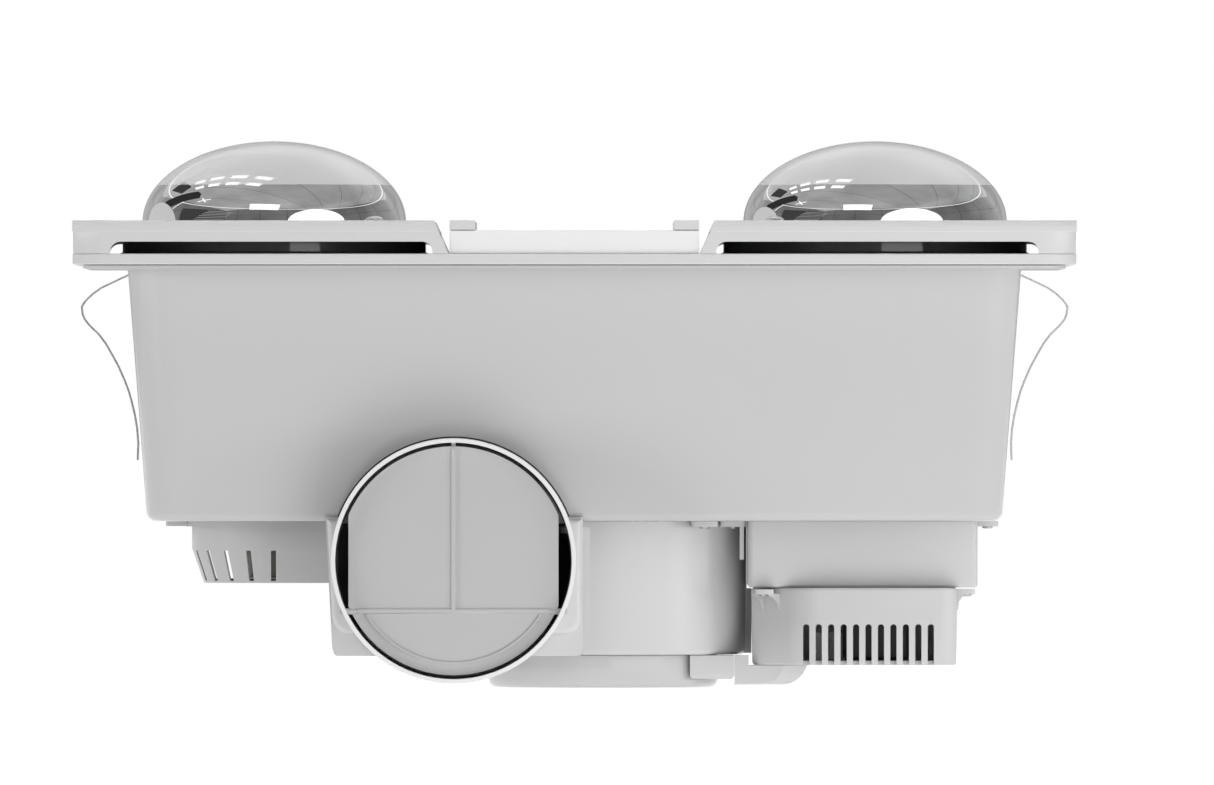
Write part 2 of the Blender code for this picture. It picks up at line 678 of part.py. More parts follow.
def make_centre_light(fascia):
    half = (LIGHT_LENGTH / 2, FASCIA_WIDTH / 2 - TRIM_INSET)
    tray = block((-half[0], -half[1], COVER_BOTTOM), (half[0], half[1], LIGHT_TOP))
    bevel_where(tray, COVER_CORNER, lambda place: place.z > LIGHT_TOP - COVER_CORNER / 10, 2)
    inside = block((LIGHT_WALL - half[0], LIGHT_WALL - half[1], COVER_BOTTOM - CUT_OVERRUN),
                   (half[0] - LIGHT_WALL, half[1] - LIGHT_WALL, LIGHT_TOP - LIGHT_WALL))
    sub_part("light_diffuser", tray, WHITE, cut=[inside], carrier=fascia)
    low, high = LIGHT_TOP + SEAT_GAP, COVER_CREST
    for name, side in sides():
        outer = LIGHT_LENGTH / 2
        ends = sorted((side * (outer - TRIM_WIDTH), side * outer))
        bar = block((ends[0], -half[1], low), (ends[1], half[1], high))
        bevel_where(bar, COVER_CORNER / 2, lambda place: place.z > high - COVER_CORNER / 10, 1)
        sub_part(f"light_trim_{name}", bar, WHITE, carrier=fascia)
    board_half = (half[0] - BOARD_SIDE_GAP, half[1] - BOARD_END_GAP)
    board = block((-board_half[0], -board_half[1], COVER_BOTTOM),
                  (board_half[0], board_half[1], COVER_BOTTOM + BOARD_THICKNESS))
    sub_part("led_board", board, BOARD, carrier=fascia)
    top = PLATE_TOP - PLATE_SKIN - SEAT_GAP
    bottom = top - DRIVER_HEIGHT
    rear = housing_half(bottom, HOUSING_WALL + DRIVER_WALL_GAP)[1]
    driver = block((-DRIVER_LENGTH / 2, rear - DRIVER_WIDTH, bottom), (DRIVER_LENGTH / 2, rear, top))
    bmesh.ops.bevel(driver, geom=driver.edges[:], offset=DRIVER_CORNER, segments=1, profile=0.5,
                    affect="EDGES")
    sub_part("led_driver", driver, WHITE, carrier=fascia)


def lamp_outline(inset, taper_steps, dome_steps):
    """Points of the lamp's wall from the neck up to the crown, moved in by a wall."""
    points = []
    for step in range(taper_steps):
        share = step / taper_steps
        growth = math.sin(math.radians(90) * share) ** LAMP_TAPER_POWER
        radius = LAMP_NECK_RADIUS + (LAMP_RADIUS - LAMP_NECK_RADIUS) * growth
        points.append((radius - inset, LAMP_NECK + LAMP_TAPER * share))
    for step in range(dome_steps + 1):
        angle = math.radians(90) * step / dome_steps
        points.append(((LAMP_RADIUS - inset) * math.cos(angle),
                       COVER_CREST + (LAMP_DOME - inset) * math.sin(angle)))
    return points


def make_lamps():
    holder_bore = CAP_RADIUS + HOLDER_BORE_GAP
    holder_top = HOLDER_BOTTOM + HOLDER_HEIGHT
    holder_floor = HOLDER_BOTTOM + HOLDER_FLOOR
    cap_shoulder = CAP_TOP - CAP_SKIRT
    reflector_bottom = BACK_INSIDE + SEAT_GAP
    outer, inner = [], []
    for step in range(REFLECTOR_STEPS + 1):
        angle = math.radians(90) * step / REFLECTOR_STEPS
        radius = REFLECTOR_BASE_RADIUS + (REFLECTOR_MOUTH_RADIUS - REFLECTOR_BASE_RADIUS) * math.sin(angle)
        z = reflector_bottom + REFLECTOR_HEIGHT * (1 - math.cos(angle))
        outer.append((radius, z))
        inner.append((radius - REFLECTOR_WALL, z + REFLECTOR_WALL * math.cos(angle)))
    dish = [(HOLDER_HOLE_RADIUS, reflector_bottom)] + outer + inner[::-1]
    dish.append((HOLDER_HOLE_RADIUS, reflector_bottom + REFLECTOR_WALL))
    for name, side in sides():
        place = (side * LAMP_X, 0)
        glass = lamp_outline(0.0, LAMP_TAPER_STEPS, LAMP_DOME_STEPS)
        glass += lamp_outline(LAMP_WALL + LAMP_CHORD_GAP, LAMP_TAPER_STEPS - 2, LAMP_DOME_STEPS - 1)[::-1]
        sub_part(f"heat_lamp_{name}", turned(glass, at=place), MIRROR)
        cap = ((0, CAP_BOTTOM), (CAP_TIP_RADIUS, CAP_BOTTOM), (CAP_RADIUS, CAP_BOTTOM + CAP_SKIRT),
               (CAP_RADIUS, cap_shoulder), (LAMP_NECK_RADIUS, CAP_TOP - CAP_SKIRT / 3),
               (LAMP_NECK_RADIUS, CAP_TOP), (0, CAP_TOP))
        sub_part(f"lamp_cap_{name}", turned(cap, SMALL_SIDES, place), BRASS)
        contact = CAP_BOTTOM - SEAT_GAP
        holder = ((0, HOLDER_BOTTOM), (HOLDER_RADIUS, HOLDER_BOTTOM), (HOLDER_RADIUS, holder_top),
                  (holder_bore, holder_top), (holder_bore, holder_floor), (CAP_TIP_RADIUS, holder_floor),
                  (CAP_TIP_RADIUS, contact), (0, contact))
        sub_part(f"lampholder_{name}", turned(holder, SMALL_SIDES, place), CERAMIC)
        sub_part(f"lamp_reflector_{name}", turned(dish, HIDDEN_SIDES, place), STEEL)


def cup_outline(radius, reach):
    """Half round about the lamp's axis towards the end wall, straight on the other side."""
    steps = 2 * FINE_STEPS
    points = [(-LAMP_X + reach, radius)]
    for step in range(steps + 1):
        angle = math.radians(90 + 180 * step / steps)
        points.append((-LAMP_X + radius * math.cos(angle), radius * math.sin(angle)))
    points.append((-LAMP_X + reach, -radius))
    return points


def make_lampholder_cover_left():
    knee = SCROLL_TOP - CUP_STRAIGHT
    lean = CUP_RADIUS - CUP_FLOOR_RADIUS
    body = lofted([level(cup_outline(CUP_FLOOR_RADIUS, CUP_REACH - lean / 2), CUP_BOTTOM),
                   level(cup_outline(CUP_RADIUS, CUP_REACH), knee),
                   level(cup_outline(CUP_RADIUS, CUP_REACH), SCROLL_TOP)])
    inside = lofted([level(cup_outline(CUP_FLOOR_RADIUS - CUP_WALL, CUP_REACH - lean / 2 - CUP_WALL),
                           CUP_BOTTOM + CUP_FLOOR),
                     level(cup_outline(CUP_RADIUS - CUP_WALL, CUP_REACH - CUP_WALL), knee),
                     level(cup_outline(CUP_RADIUS - CUP_WALL, CUP_REACH - CUP_WALL), SCROLL_TOP + CUT_OVERRUN)])
    bottom = SCROLL_TOP - CUP_FLANGE_THICKNESS
    flange = prism(cup_outline(CUP_RADIUS + CUP_FLANGE, CUP_REACH - CUP_FLANGE), bottom, SCROLL_TOP)
    ear = block((-LAMP_X - CUP_EAR_REACH, -CUP_EAR_WIDTH / 2, bottom),
                (-LAMP_X - CUP_RADIUS, CUP_EAR_WIDTH / 2, SCROLL_TOP))
    slots = []
    slot_top = knee - CUP_SLOT_WIDTH / 2
    for count in range(-CUP_SLOTS_A_SIDE, CUP_SLOTS_A_SIDE + 1):
        if count:
            slot = block((CUP_FLOOR_RADIUS - 2 * CUT_OVERRUN, -CUP_SLOT_WIDTH / 2, slot_top - CUP_SLOT_HEIGHT),
                         (CUP_RADIUS + CUT_OVERRUN, CUP_SLOT_WIDTH / 2, slot_top))
            turn = Matrix.Translation((-LAMP_X, 0, 0)) @ Matrix.Rotation(
                math.radians(180 + CUP_SLOT_ANGLE * count), 4, "Z")
            bmesh.ops.transform(slot, matrix=turn, verts=slot.verts)
            slots.append(slot)
    sub_part("lampholder_cover_left", body, SHELL, add=[flange, ear], cut=[inside, merged(slots)])


def make_lampholder_cover_right():
    half = BOX_WIDTH / 2
    corners = (BOX_CORNER,) * 4
    body = prism(rounded_outline((BOX_LEFT, -half), (BOX_RIGHT, half), corners, 2), BOX_BOTTOM, SCROLL_TOP)
    floor = BOX_BOTTOM + BOX_WALL
    inside = prism(rounded_outline((BOX_LEFT + BOX_WALL, BOX_WALL - half), (BOX_RIGHT - BOX_WALL, half - BOX_WALL),
                                   (BOX_CORNER - BOX_WALL,) * 4, 2), floor, SCROLL_TOP + CUT_OVERRUN)
    pedestal = rod(PEDESTAL_RADIUS, (LAMP_X, 0, BOX_BOTTOM + BOX_WALL / 2),
                   (LAMP_X, 0, HOLDER_BOTTOM - SEAT_GAP), SMALL_SIDES)
    ear = block((BOX_RIGHT - BOX_WALL / 2, -BOX_EAR_WIDTH / 2, SCROLL_TOP - BOX_EAR_THICKNESS),
                (BOX_RIGHT + BOX_EAR_REACH, BOX_EAR_WIDTH / 2, SCROLL_TOP))
    piece = sub_part("lampholder_cover_right", body, SHELL, cut=[inside])
    combine(piece, "UNION", [pedestal, ear])


def electrics_outline(grow):
    """Plan of the electrics box: a cut corner at the left front, a round one at the right front."""
    left, right = ELECTRICS_LEFT - grow, ELECTRICS_RIGHT + grow
    front, rear = ELECTRICS_FRONT - grow, ELECTRICS_REAR + grow
    points = rounded_outline((left, front), (right, rear),
                             (ELECTRICS_REAR_CORNER, ELECTRICS_REAR_CORNER, ELECTRICS_CORNER, ELECTRICS_CORNER),
                             EDGE_STEPS)
    run = EDGE_STEPS + 1
    points[2 * run:3 * run] = [(left, front + ELECTRICS_CHAMFER_Y), (left + ELECTRICS_CHAMFER_X, front)]
    return points


def slot_outline(middle, width, bottom, top):
    """An upright slot, square below and half round above."""
    radius = width / 2
    points = [(middle - radius, bottom), (middle + radius, bottom)]
    for step in range(2 * SLOT_STEPS + 1):
        angle = math.radians(90) * step / SLOT_STEPS
        points.append((middle + radius * math.cos(angle), top - radius + radius * math.sin(angle)))
    return points


def make_electrics_box():
    bottom, top = ELECTRICS_BOTTOM, ELECTRICS_TOP
    step = top - ELECTRICS_LIP
    body = lofted([level(electrics_outline(0.0), bottom),
                   level(electrics_outline(ELECTRICS_FLARE), step - SEAT_GAP),
                   level(electrics_outline(ELECTRICS_FLARE - ELECTRICS_LIP_INSET), step),
                   level(electrics_outline(ELECTRICS_FLARE - ELECTRICS_LIP_INSET), top)])
    inside = lofted([level(electrics_outline(-ELECTRICS_WALL), bottom + ELECTRICS_WALL),
                     level(electrics_outline(-ELECTRICS_WALL), top + CUT_OVERRUN)])
    vents = []
    for count in range(VENTS):
        middle = VENT_FIRST_X + VENT_SPACING * count
        window = slot_outline(middle, VENT_WIDTH, bottom - CUT_OVERRUN, bottom + VENT_HEIGHT)
        vents.append(lofted([upright(window, ELECTRICS_FRONT - CUT_OVERRUN),
                             upright(window, ELECTRICS_FRONT + VENT_FLOOR_CUT)]))
    ear_bottom = step - EAR_THICKNESS
    left_ear = block((LEFT_EAR_X, LEFT_EAR_FRONT, ear_bottom), (LEFT_EAR_X + LEFT_EAR_LENGTH, LEFT_EAR_REAR, step))
    right_ear = block((ELECTRICS_RIGHT - ELECTRICS_WALL / 2, RIGHT_EAR_Y - RIGHT_EAR_WIDTH / 2, ear_bottom),
                      (RIGHT_EAR_RIGHT, RIGHT_EAR_Y + RIGHT_EAR_WIDTH / 2, step))
    gussets = []
    for inset in (0.0, LEFT_EAR_LENGTH - GUSSET_THICKNESS):
        low_x = LEFT_EAR_X + inset
        outline = ((LEFT_EAR_FRONT, ear_bottom + SEAT_GAP), (LEFT_EAR_REAR, ear_bottom + SEAT_GAP),
                   (LEFT_EAR_REAR, ear_bottom - LEFT_GUSSET_DROP))
        gussets.append(lofted([[(low_x + across, y, z) for y, z in outline]
                               for across in (0.0, GUSSET_THICKNESS)]))
    reach = ELECTRICS_RIGHT + RIGHT_GUSSET_REACH
    outline = ((ELECTRICS_RIGHT - ELECTRICS_WALL / 2, ear_bottom + SEAT_GAP), (reach, ear_bottom + SEAT_GAP),
               (ELECTRICS_RIGHT - ELECTRICS_WALL / 2, ear_bottom - RIGHT_GUSSET_DROP))
    gussets.append(lofted([upright(outline, RIGHT_EAR_Y - GUSSET_THICKNESS / 2),
                           upright(outline, RIGHT_EAR_Y + GUSSET_THICKNESS / 2)]))
    hole = rod(BUSH_RADIUS + SEAT_GAP, (BUSH_X, ELECTRICS_REAR - 2 * ELECTRICS_WALL, BUSH_Z),
               (BUSH_X, ELECTRICS_REAR + 2 * ELECTRICS_WALL, BUSH_Z), SMALL_SIDES)
    piece = sub_part("electrics_box", body, SHELL, add=[left_ear, right_ear] + gussets)
    combine(piece, "DIFFERENCE", [inside, merged(vents), hole])


def make_circuits():
    floor = ELECTRICS_BOTTOM + ELECTRICS_WALL + SEAT_GAP
    half = (TERMINAL_LENGTH / 2, TERMINAL_WIDTH / 2)
    terminal = block((TERMINAL_X - half[0], TERMINAL_Y - half[1], floor),
                     (TERMINAL_X + half[0], TERMINAL_Y + half[1], floor + TERMINAL_HEIGHT))
    grooves = []
    for count in range(1, TERMINAL_WAYS):
        x = TERMINAL_X - half[0] + TERMINAL_LENGTH * count / TERMINAL_WAYS
        grooves.append(block((x - TERMINAL_GROOVE / 2, TERMINAL_Y - TERMINAL_WIDTH, floor + TERMINAL_STEP),
                             (x + TERMINAL_GROOVE / 2, TERMINAL_Y + TERMINAL_WIDTH,
                              floor + TERMINAL_HEIGHT + CUT_OVERRUN)))
    sub_part("terminal_block", terminal, BOARD, cut=[merged(grooves)])
    half = (CAPACITOR_LENGTH / 2, CAPACITOR_WIDTH / 2)
    capacitor = block((CAPACITOR_X - half[0], CAPACITOR_Y - half[1], floor),
                      (CAPACITOR_X + half[0], CAPACITOR_Y + half[1], floor + CAPACITOR_HEIGHT))
    bmesh.ops.bevel(capacitor, geom=capacitor.edges[:], offset=CAPACITOR_EDGE, segments=1, profile=0.5,
                    affect="EDGES")
    sub_part("motor_capacitor", capacitor, DARK)
    wide = BUSH_RADIUS + BUSH_FLANGE
    wall = ELECTRICS_WALL / 2 + SEAT_GAP + ELECTRICS_FLARE
    profile = ((BUSH_BORE, -wall - BUSH_FLANGE), (wide, -wall - BUSH_FLANGE), (wide, -wall), (BUSH_RADIUS, -wall),
               (BUSH_RADIUS, wall), (wide, wall), (wide, wall + BUSH_FLANGE), (BUSH_BORE, wall + BUSH_FLANGE))
    bush = turned(profile, PIN_SIDES)
    place = Vector((BUSH_X, ELECTRICS_REAR - ELECTRICS_WALL / 2 + ELECTRICS_FLARE / 2, BUSH_Z))
    bmesh.ops.transform(bush, matrix=Matrix.Translation(place) @ Matrix.Rotation(math.radians(90), 4, "X"),
                        verts=bush.verts)
    sub_part("cable_bush", bush, DARK)


def scroll_radius(angle):
    share = (angle - SCROLL_START) / (SCROLL_END - SCROLL_START)
    return SCROLL_START_RADIUS + SCROLL_GROWTH * share ** SCROLL_GROWTH_POWER


def scroll_outline(inset, mouth_y):
    """The growing spiral from the tongue round to the left wall, then the open mouth at -Y."""
    points = []
    for step in range(SCROLL_STEPS + 1):
        angle = SCROLL_TONGUE + (SCROLL_END - SCROLL_TONGUE) * step / SCROLL_STEPS
        radius = scroll_radius(angle) - inset
        turn = math.radians(angle)
        points.append((FAN_X + radius * math.cos(turn), FAN_Y + radius * math.sin(turn)))
    points.append((MOUTH_LEFT + inset, mouth_y))
    points.append((MOUTH_RIGHT - inset, mouth_y))
    tongue = points[0]
    points.append((tongue[0] - inset, tongue[1]))
    return points


def make_scroll():
    sections = []
    for step in range(EDGE_STEPS + 1):
        angle = math.radians(90) * step / EDGE_STEPS
        inset = SCROLL_EDGE * (1 - math.sin(angle)) + SEAT_GAP
        sections.append(level(scroll_outline(inset, MOUTH_Y), SCROLL_BOTTOM + SCROLL_EDGE * (1 - math.cos(angle))))
    sections.append(level(scroll_outline(SEAT_GAP, MOUTH_Y), SCROLL_TOP))
    inside = prism(scroll_outline(SCROLL_WALL, MOUTH_Y - CUT_OVERRUN), SCROLL_FLOOR_TOP, SCROLL_TOP + CUT_OVERRUN)
    hole = rod(MOTOR_HOLE_RADIUS, (FAN_X, FAN_Y, SCROLL_BOTTOM - CUT_OVERRUN),
               (FAN_X, FAN_Y, SCROLL_FLOOR_TOP + CUT_OVERRUN), ROUND_SIDES)
    rib = block((MOUTH_RIGHT - SCROLL_WALL, MOUTH_Y, SCROLL_BOTTOM + MOUTH_RIB_INSET),
                (MOUTH_RIGHT + MOUTH_RIB_REACH, MOUTH_Y + MOUTH_RIB_DEPTH, SCROLL_TOP - MOUTH_RIB_INSET))
    tab_bottom = SCROLL_TOP - TAB_THICKNESS
    tabs = [block((x, y, tab_bottom), (x + TAB_LENGTH, y + TAB_REACH, SCROLL_TOP))
            for x, y in ((FIRST_TAB_X, FIRST_TAB_Y), (SECOND_TAB_X, SECOND_TAB_Y))]
    hook_x = SECOND_TAB_X + TAB_LENGTH - HOOK_INSET - HOOK_THICKNESS
    hook = block((hook_x, SECOND_TAB_Y, tab_bottom - HOOK_DROP),
                 (hook_x + HOOK_THICKNESS, SECOND_TAB_Y + HOOK_WIDTH, tab_bottom + TAB_THICKNESS / 2))
    piece = sub_part("scroll_housing", lofted(sections), SHELL, add=[rib] + tabs + [hook])
    combine(piece, "DIFFERENCE", [inside, hole])


def make_inlet_ring():
    top = BACK_INSIDE + SEAT_GAP + INLET_WALL
    centre = (INLET_THROAT_RADIUS + INLET_CURVE, top - INLET_CURVE)
    inner, outer = [], []
    for step in range(EDGE_STEPS + 1):
        angle = math.radians(180 - 90 * step / EDGE_STEPS)
        inner.append((centre[0] + INLET_CURVE * math.cos(angle), centre[1] + INLET_CURVE * math.sin(angle)))
        small = INLET_CURVE - INLET_WALL
        outer.append((centre[0] + small * math.cos(angle), centre[1] + small * math.sin(angle)))
    low = top - INLET_DIP
    profile = [(INLET_THROAT_RADIUS, low)] + inner + [(INLET_FLANGE_RADIUS, top)]
    profile += [(INLET_FLANGE_RADIUS, top - INLET_WALL)] + outer[::-1]
    profile.append((INLET_THROAT_RADIUS + INLET_WALL, low))
    sub_part("inlet_ring", turned(profile, HIDDEN_SIDES, (FAN_X, FAN_Y)), STEEL)


def blade(angle):
    """One forward-curved blade: an arc from the eye to the rim, of even thickness."""
    inner, outer = IMPELLER_EYE_RADIUS + BLADE_THICKNESS, IMPELLER_RADIUS - BLADE_THICKNESS
    middle = []
    for step in range(BLADE_STEPS + 1):
        share = step / BLADE_STEPS
        radius = inner + (outer - inner) * share
        turn = math.radians(angle + BLADE_SWEEP * share * share)
        middle.append(Vector((radius * math.cos(turn), radius * math.sin(turn))))
    left, right = [], []
    for count, place in enumerate(middle):
        ahead = middle[min(count + 1, BLADE_STEPS)] - middle[max(count - 1, 0)]
        normal = Vector((-ahead.y, ahead.x)).normalized() * BLADE_THICKNESS / 2
        left.append(place + normal)
        right.append(place - normal)
    outline = [(FAN_X + place.x, FAN_Y + place.y) for place in right + left[::-1]]
    return prism(outline, IMPELLER_BOTTOM + IMPELLER_PLATE / 2, IMPELLER_TOP - IMPELLER_RING / 2)


def make_impeller(spin):
    plate_top = IMPELLER_BOTTOM + IMPELLER_PLATE
    bore = SHAFT_RADIUS + SEAT_GAP
    hub_top = IMPELLER_BOTTOM + IMPELLER_HUB_HEIGHT
    backplate = turned(((bore, IMPELLER_BOTTOM), (IMPELLER_RADIUS, IMPELLER_BOTTOM), (IMPELLER_RADIUS, plate_top),
                        (IMPELLER_HUB_RADIUS, plate_top), (IMPELLER_HUB_RADIUS, hub_top), (bore, hub_top)),
                       at=(FAN_X, FAN_Y))
    ring_bottom = IMPELLER_TOP - IMPELLER_RING
    ring = turned(((IMPELLER_EYE_RADIUS, ring_bottom), (IMPELLER_RADIUS, ring_bottom),
                   (IMPELLER_RADIUS, IMPELLER_TOP), (IMPELLER_EYE_RADIUS, IMPELLER_TOP)), at=(FAN_X, FAN_Y))
    blades = merged([blade(360 * count / BLADES) for count in range(BLADES)])
    sub_part("impeller", backplate, SHELL, add=[blades, ring], carrier=spin)
    axis = (FAN_X, FAN_Y)
    bottom = MOTOR_CAP_WALL + SEAT_GAP
    shaft_top = hub_top + BEARING_HEIGHT
    shaft = rod(SHAFT_RADIUS, (*axis, bottom), (*axis, shaft_top), SMALL_SIDES)
    sub_part("motor_shaft", shaft, STEEL, carrier=spin)
    rotor = turned(((bore, STATOR_BASE), (ROTOR_RADIUS, STATOR_BASE), (ROTOR_RADIUS, STATOR_BASE + STATOR_HEIGHT),
                    (bore, STATOR_BASE + STATOR_HEIGHT)), HIDDEN_SIDES, axis)
    sub_part("motor_rotor", rotor, STEEL, carrier=spin)


def make_motor():
    axis = (FAN_X, FAN_Y)
    boss = BEARING_RADIUS + SEAT_GAP
    seat_top = STATOR_BASE - SEAT_GAP
    seat_outer = STATOR_RADIUS - SEAT_GAP
    boss_top = MOTOR_CAP_WALL + SEAT_GAP + BEARING_HEIGHT
    inner_wall = MOTOR_CAP_RADIUS - MOTOR_CAP_WALL
    profile = []
    for step in range(EDGE_STEPS + 1):
        angle = math.radians(90) * step / EDGE_STEPS
        profile.append((MOTOR_CAP_RADIUS - MOTOR_CAP_EDGE * (1 - math.sin(angle)),
                        MOTOR_CAP_EDGE * (1 - math.cos(angle))))
    profile += [(MOTOR_CAP_RADIUS, MOTOR_CAP_HEIGHT), (inner_wall, MOTOR_CAP_HEIGHT),
                (inner_wall, MOTOR_CAP_EDGE), (inner_wall - MOTOR_CAP_EDGE / 2, MOTOR_CAP_WALL),
                (seat_outer, MOTOR_CAP_WALL), (seat_outer, seat_top),
                (seat_outer - STATOR_SEAT_WIDTH, seat_top), (seat_outer - STATOR_SEAT_WIDTH, MOTOR_CAP_WALL),
                (boss + BOSS_WALL, MOTOR_CAP_WALL), (boss + BOSS_WALL, boss_top), (boss, boss_top),
                (boss, MOTOR_CAP_WALL), (0, MOTOR_CAP_WALL), (0, 0)]
    sub_part("motor_cap", turned(profile, at=axis), SHEET)

    stator_top = STATOR_BASE + STATOR_HEIGHT
    stator = turned(((ROTOR_RADIUS + AIR_GAP, STATOR_BASE), (STATOR_RADIUS, STATOR_BASE),
                     (STATOR_RADIUS, stator_top), (ROTOR_RADIUS + AIR_GAP, stator_top)), HIDDEN_SIDES, axis)
    windows, posts = [], []
    middle = (WINDING_INNER_RADIUS + WINDING_OUTER_RADIUS) / 2
    reach = (WINDING_OUTER_RADIUS - WINDING_INNER_RADIUS) / 2 - WINDOW_GAP
    for count in range(WINDOWS):
        turn = Matrix.Translation((*axis, 0)) @ Matrix.Rotation(math.radians(360 * count / WINDOWS), 4, "Z")
        window = block((middle - reach - WINDOW_GAP, -WINDOW_WIDTH / 2 - WINDOW_GAP, STATOR_BASE - CUT_OVERRUN),
                       (middle + reach + WINDOW_GAP, WINDOW_WIDTH / 2 + WINDOW_GAP, stator_top + CUT_OVERRUN))
        post = block((middle - reach, -WINDOW_WIDTH / 2, STATOR_BASE - 2 * SEAT_GAP),
                     (middle + reach, WINDOW_WIDTH / 2, stator_top + 2 * SEAT_GAP))
        for shape, keep in ((window, windows), (post, posts)):
            bmesh.ops.transform(shape, matrix=turn, verts=shape.verts)
            keep.append(shape)
    sub_part("motor_stator", stator, STEEL, cut=[merged(windows)])
    ends = []
    for low in (STATOR_BASE - SEAT_GAP - WINDING_HEIGHT, stator_top + SEAT_GAP):
        ends.append(turned(((WINDING_INNER_RADIUS, low), (WINDING_OUTER_RADIUS, low),
                            (WINDING_OUTER_RADIUS, low + WINDING_HEIGHT),
                            (WINDING_INNER_RADIUS, low + WINDING_HEIGHT)),
                           SMALL_SIDES, axis))
    sub_part("motor_winding", ends[0], COPPER, add=[merged(posts), ends[1]])

    bracket = ((boss - BRACKET_LIP, BRACKET_BOTTOM), (BRACKET_RADIUS, BRACKET_BOTTOM),
               (BRACKET_RADIUS, BRACKET_TOP), (boss + BOSS_WALL, BRACKET_TOP), (boss + BOSS_WALL, BOSS_TOP),
               (boss, BOSS_TOP), (boss, BRACKET_TOP), (boss - BRACKET_LIP, BRACKET_TOP))
    sub_part("motor_bracket", turned(bracket, HIDDEN_SIDES, axis), SHEET)
    for name, low in (("lower", MOTOR_CAP_WALL + SEAT_GAP), ("upper", BRACKET_TOP + SEAT_GAP)):
        bore = SHAFT_RADIUS + RUNNING_GAP
        ring = turned(((bore, low), (BEARING_RADIUS, low), (BEARING_RADIUS, low + BEARING_HEIGHT),
                       (bore, low + BEARING_HEIGHT)), SMALL_SIDES, axis)
        sub_part(f"motor_bearing_{name}", ring, BRASS)


def make_lead_conduit():
    top = SCROLL_BOTTOM - SEAT_GAP
    body = block((BLOCK_LEFT, BLOCK_FRONT, BLOCK_BOTTOM), (BLOCK_RIGHT - SEAT_GAP, BLOCK_REAR, top))
    bevel_where(body, BLOCK_EDGE, lambda place: place.z < BLOCK_BOTTOM + BLOCK_EDGE / 2, 2)
    clear = rod(MOTOR_CAP_RADIUS + 2 * SEAT_GAP, (FAN_X, FAN_Y, -CUT_OVERRUN), (FAN_X, FAN_Y, top + CUT_OVERRUN),
                ROUND_SIDES)
    sub_part("motor_lead_block", body, SHELL, cut=[clear])
    under_box = ELECTRICS_BOTTOM - SEAT_GAP
    near = ELECTRICS_LEFT - ELECTRICS_FLARE - SEAT_GAP - ELECTRICS_WALL / 2
    outline = [(BLOCK_RIGHT, top), (BLOCK_RIGHT, ELBOW_BOTTOM)]
    centre = (ELBOW_RIGHT - ELBOW_CURVE, ELBOW_BOTTOM + ELBOW_CURVE)
    last = math.degrees(math.asin((under_box - centre[1]) / ELBOW_CURVE))
    for step in range(CORNER_STEPS + 1):
        angle = math.radians(-90 + (90 + last) * step / CORNER_STEPS)
        outline.append((centre[0] + ELBOW_CURVE * math.cos(angle), centre[1] + ELBOW_CURVE * math.sin(angle)))
    outline += [(near, under_box), (near, top)]
    front = upright(outline, BLOCK_FRONT)
    elbow = lofted([front, upright(outline, BLOCK_REAR)])
    corner = Vector((ELBOW_RIGHT - ELBOW_TAPER_X, BLOCK_FRONT, 0))
    bmesh.ops.bisect_plane(elbow, geom=elbow.verts[:] + elbow.edges[:] + elbow.faces[:], dist=SEAT_GAP / 100,
                           plane_co=corner, plane_no=Vector((ELBOW_TAPER_Y, -ELBOW_TAPER_X, 0)).normalized(),
                           clear_outer=True)
    bmesh.ops.holes_fill(elbow, edges=[edge for edge in elbow.edges if edge.is_boundary])
    bmesh.ops.recalc_face_normals(elbow, faces=elbow.faces)
    sub_part("lead_elbow", elbow, SHELL)


def adaptor_section(grow, y):
    """The flange's outline: wider at the top left, with small corners."""
    low_z = SCROLL_BOTTOM - grow
    high_z = FLANGE_BLOCK_TOP + grow
    points = rounded_outline((FLANGE_BLOCK_LEFT - grow, low_z), (FLANGE_BLOCK_RIGHT + grow, high_z),
                             (FLANGE_BLOCK_CORNER,) * 4, FINE_STEPS - 1)
    drafted = []
    for x, z in points:
        share = (high_z - z) / (high_z - low_z)
        side = (FLANGE_BLOCK_RIGHT - x) / (FLANGE_BLOCK_RIGHT - FLANGE_BLOCK_LEFT)
        drafted.append((x + FLANGE_BLOCK_DRAFT * share * side, z))
    return upright(drafted, y)


def mouth_section(y):
    """The air passage at the flange, in line with the scroll's mouth."""
    low = (MOUTH_LEFT + SCROLL_WALL, SCROLL_FLOOR_TOP)
    high = (MOUTH_RIGHT - SCROLL_WALL, SCROLL_TOP)
    return upright(rounded_outline(low, high, (FLANGE_BLOCK_CORNER - SCROLL_WALL,) * 4, FINE_STEPS - 1), y)


def spigot_section(radius, y):
    count = 4 * FINE_STEPS
    points = circle(radius, count, 180 / count)
    return upright([(SPIGOT_X + x, SPIGOT_Z + z) for x, z in points], y)


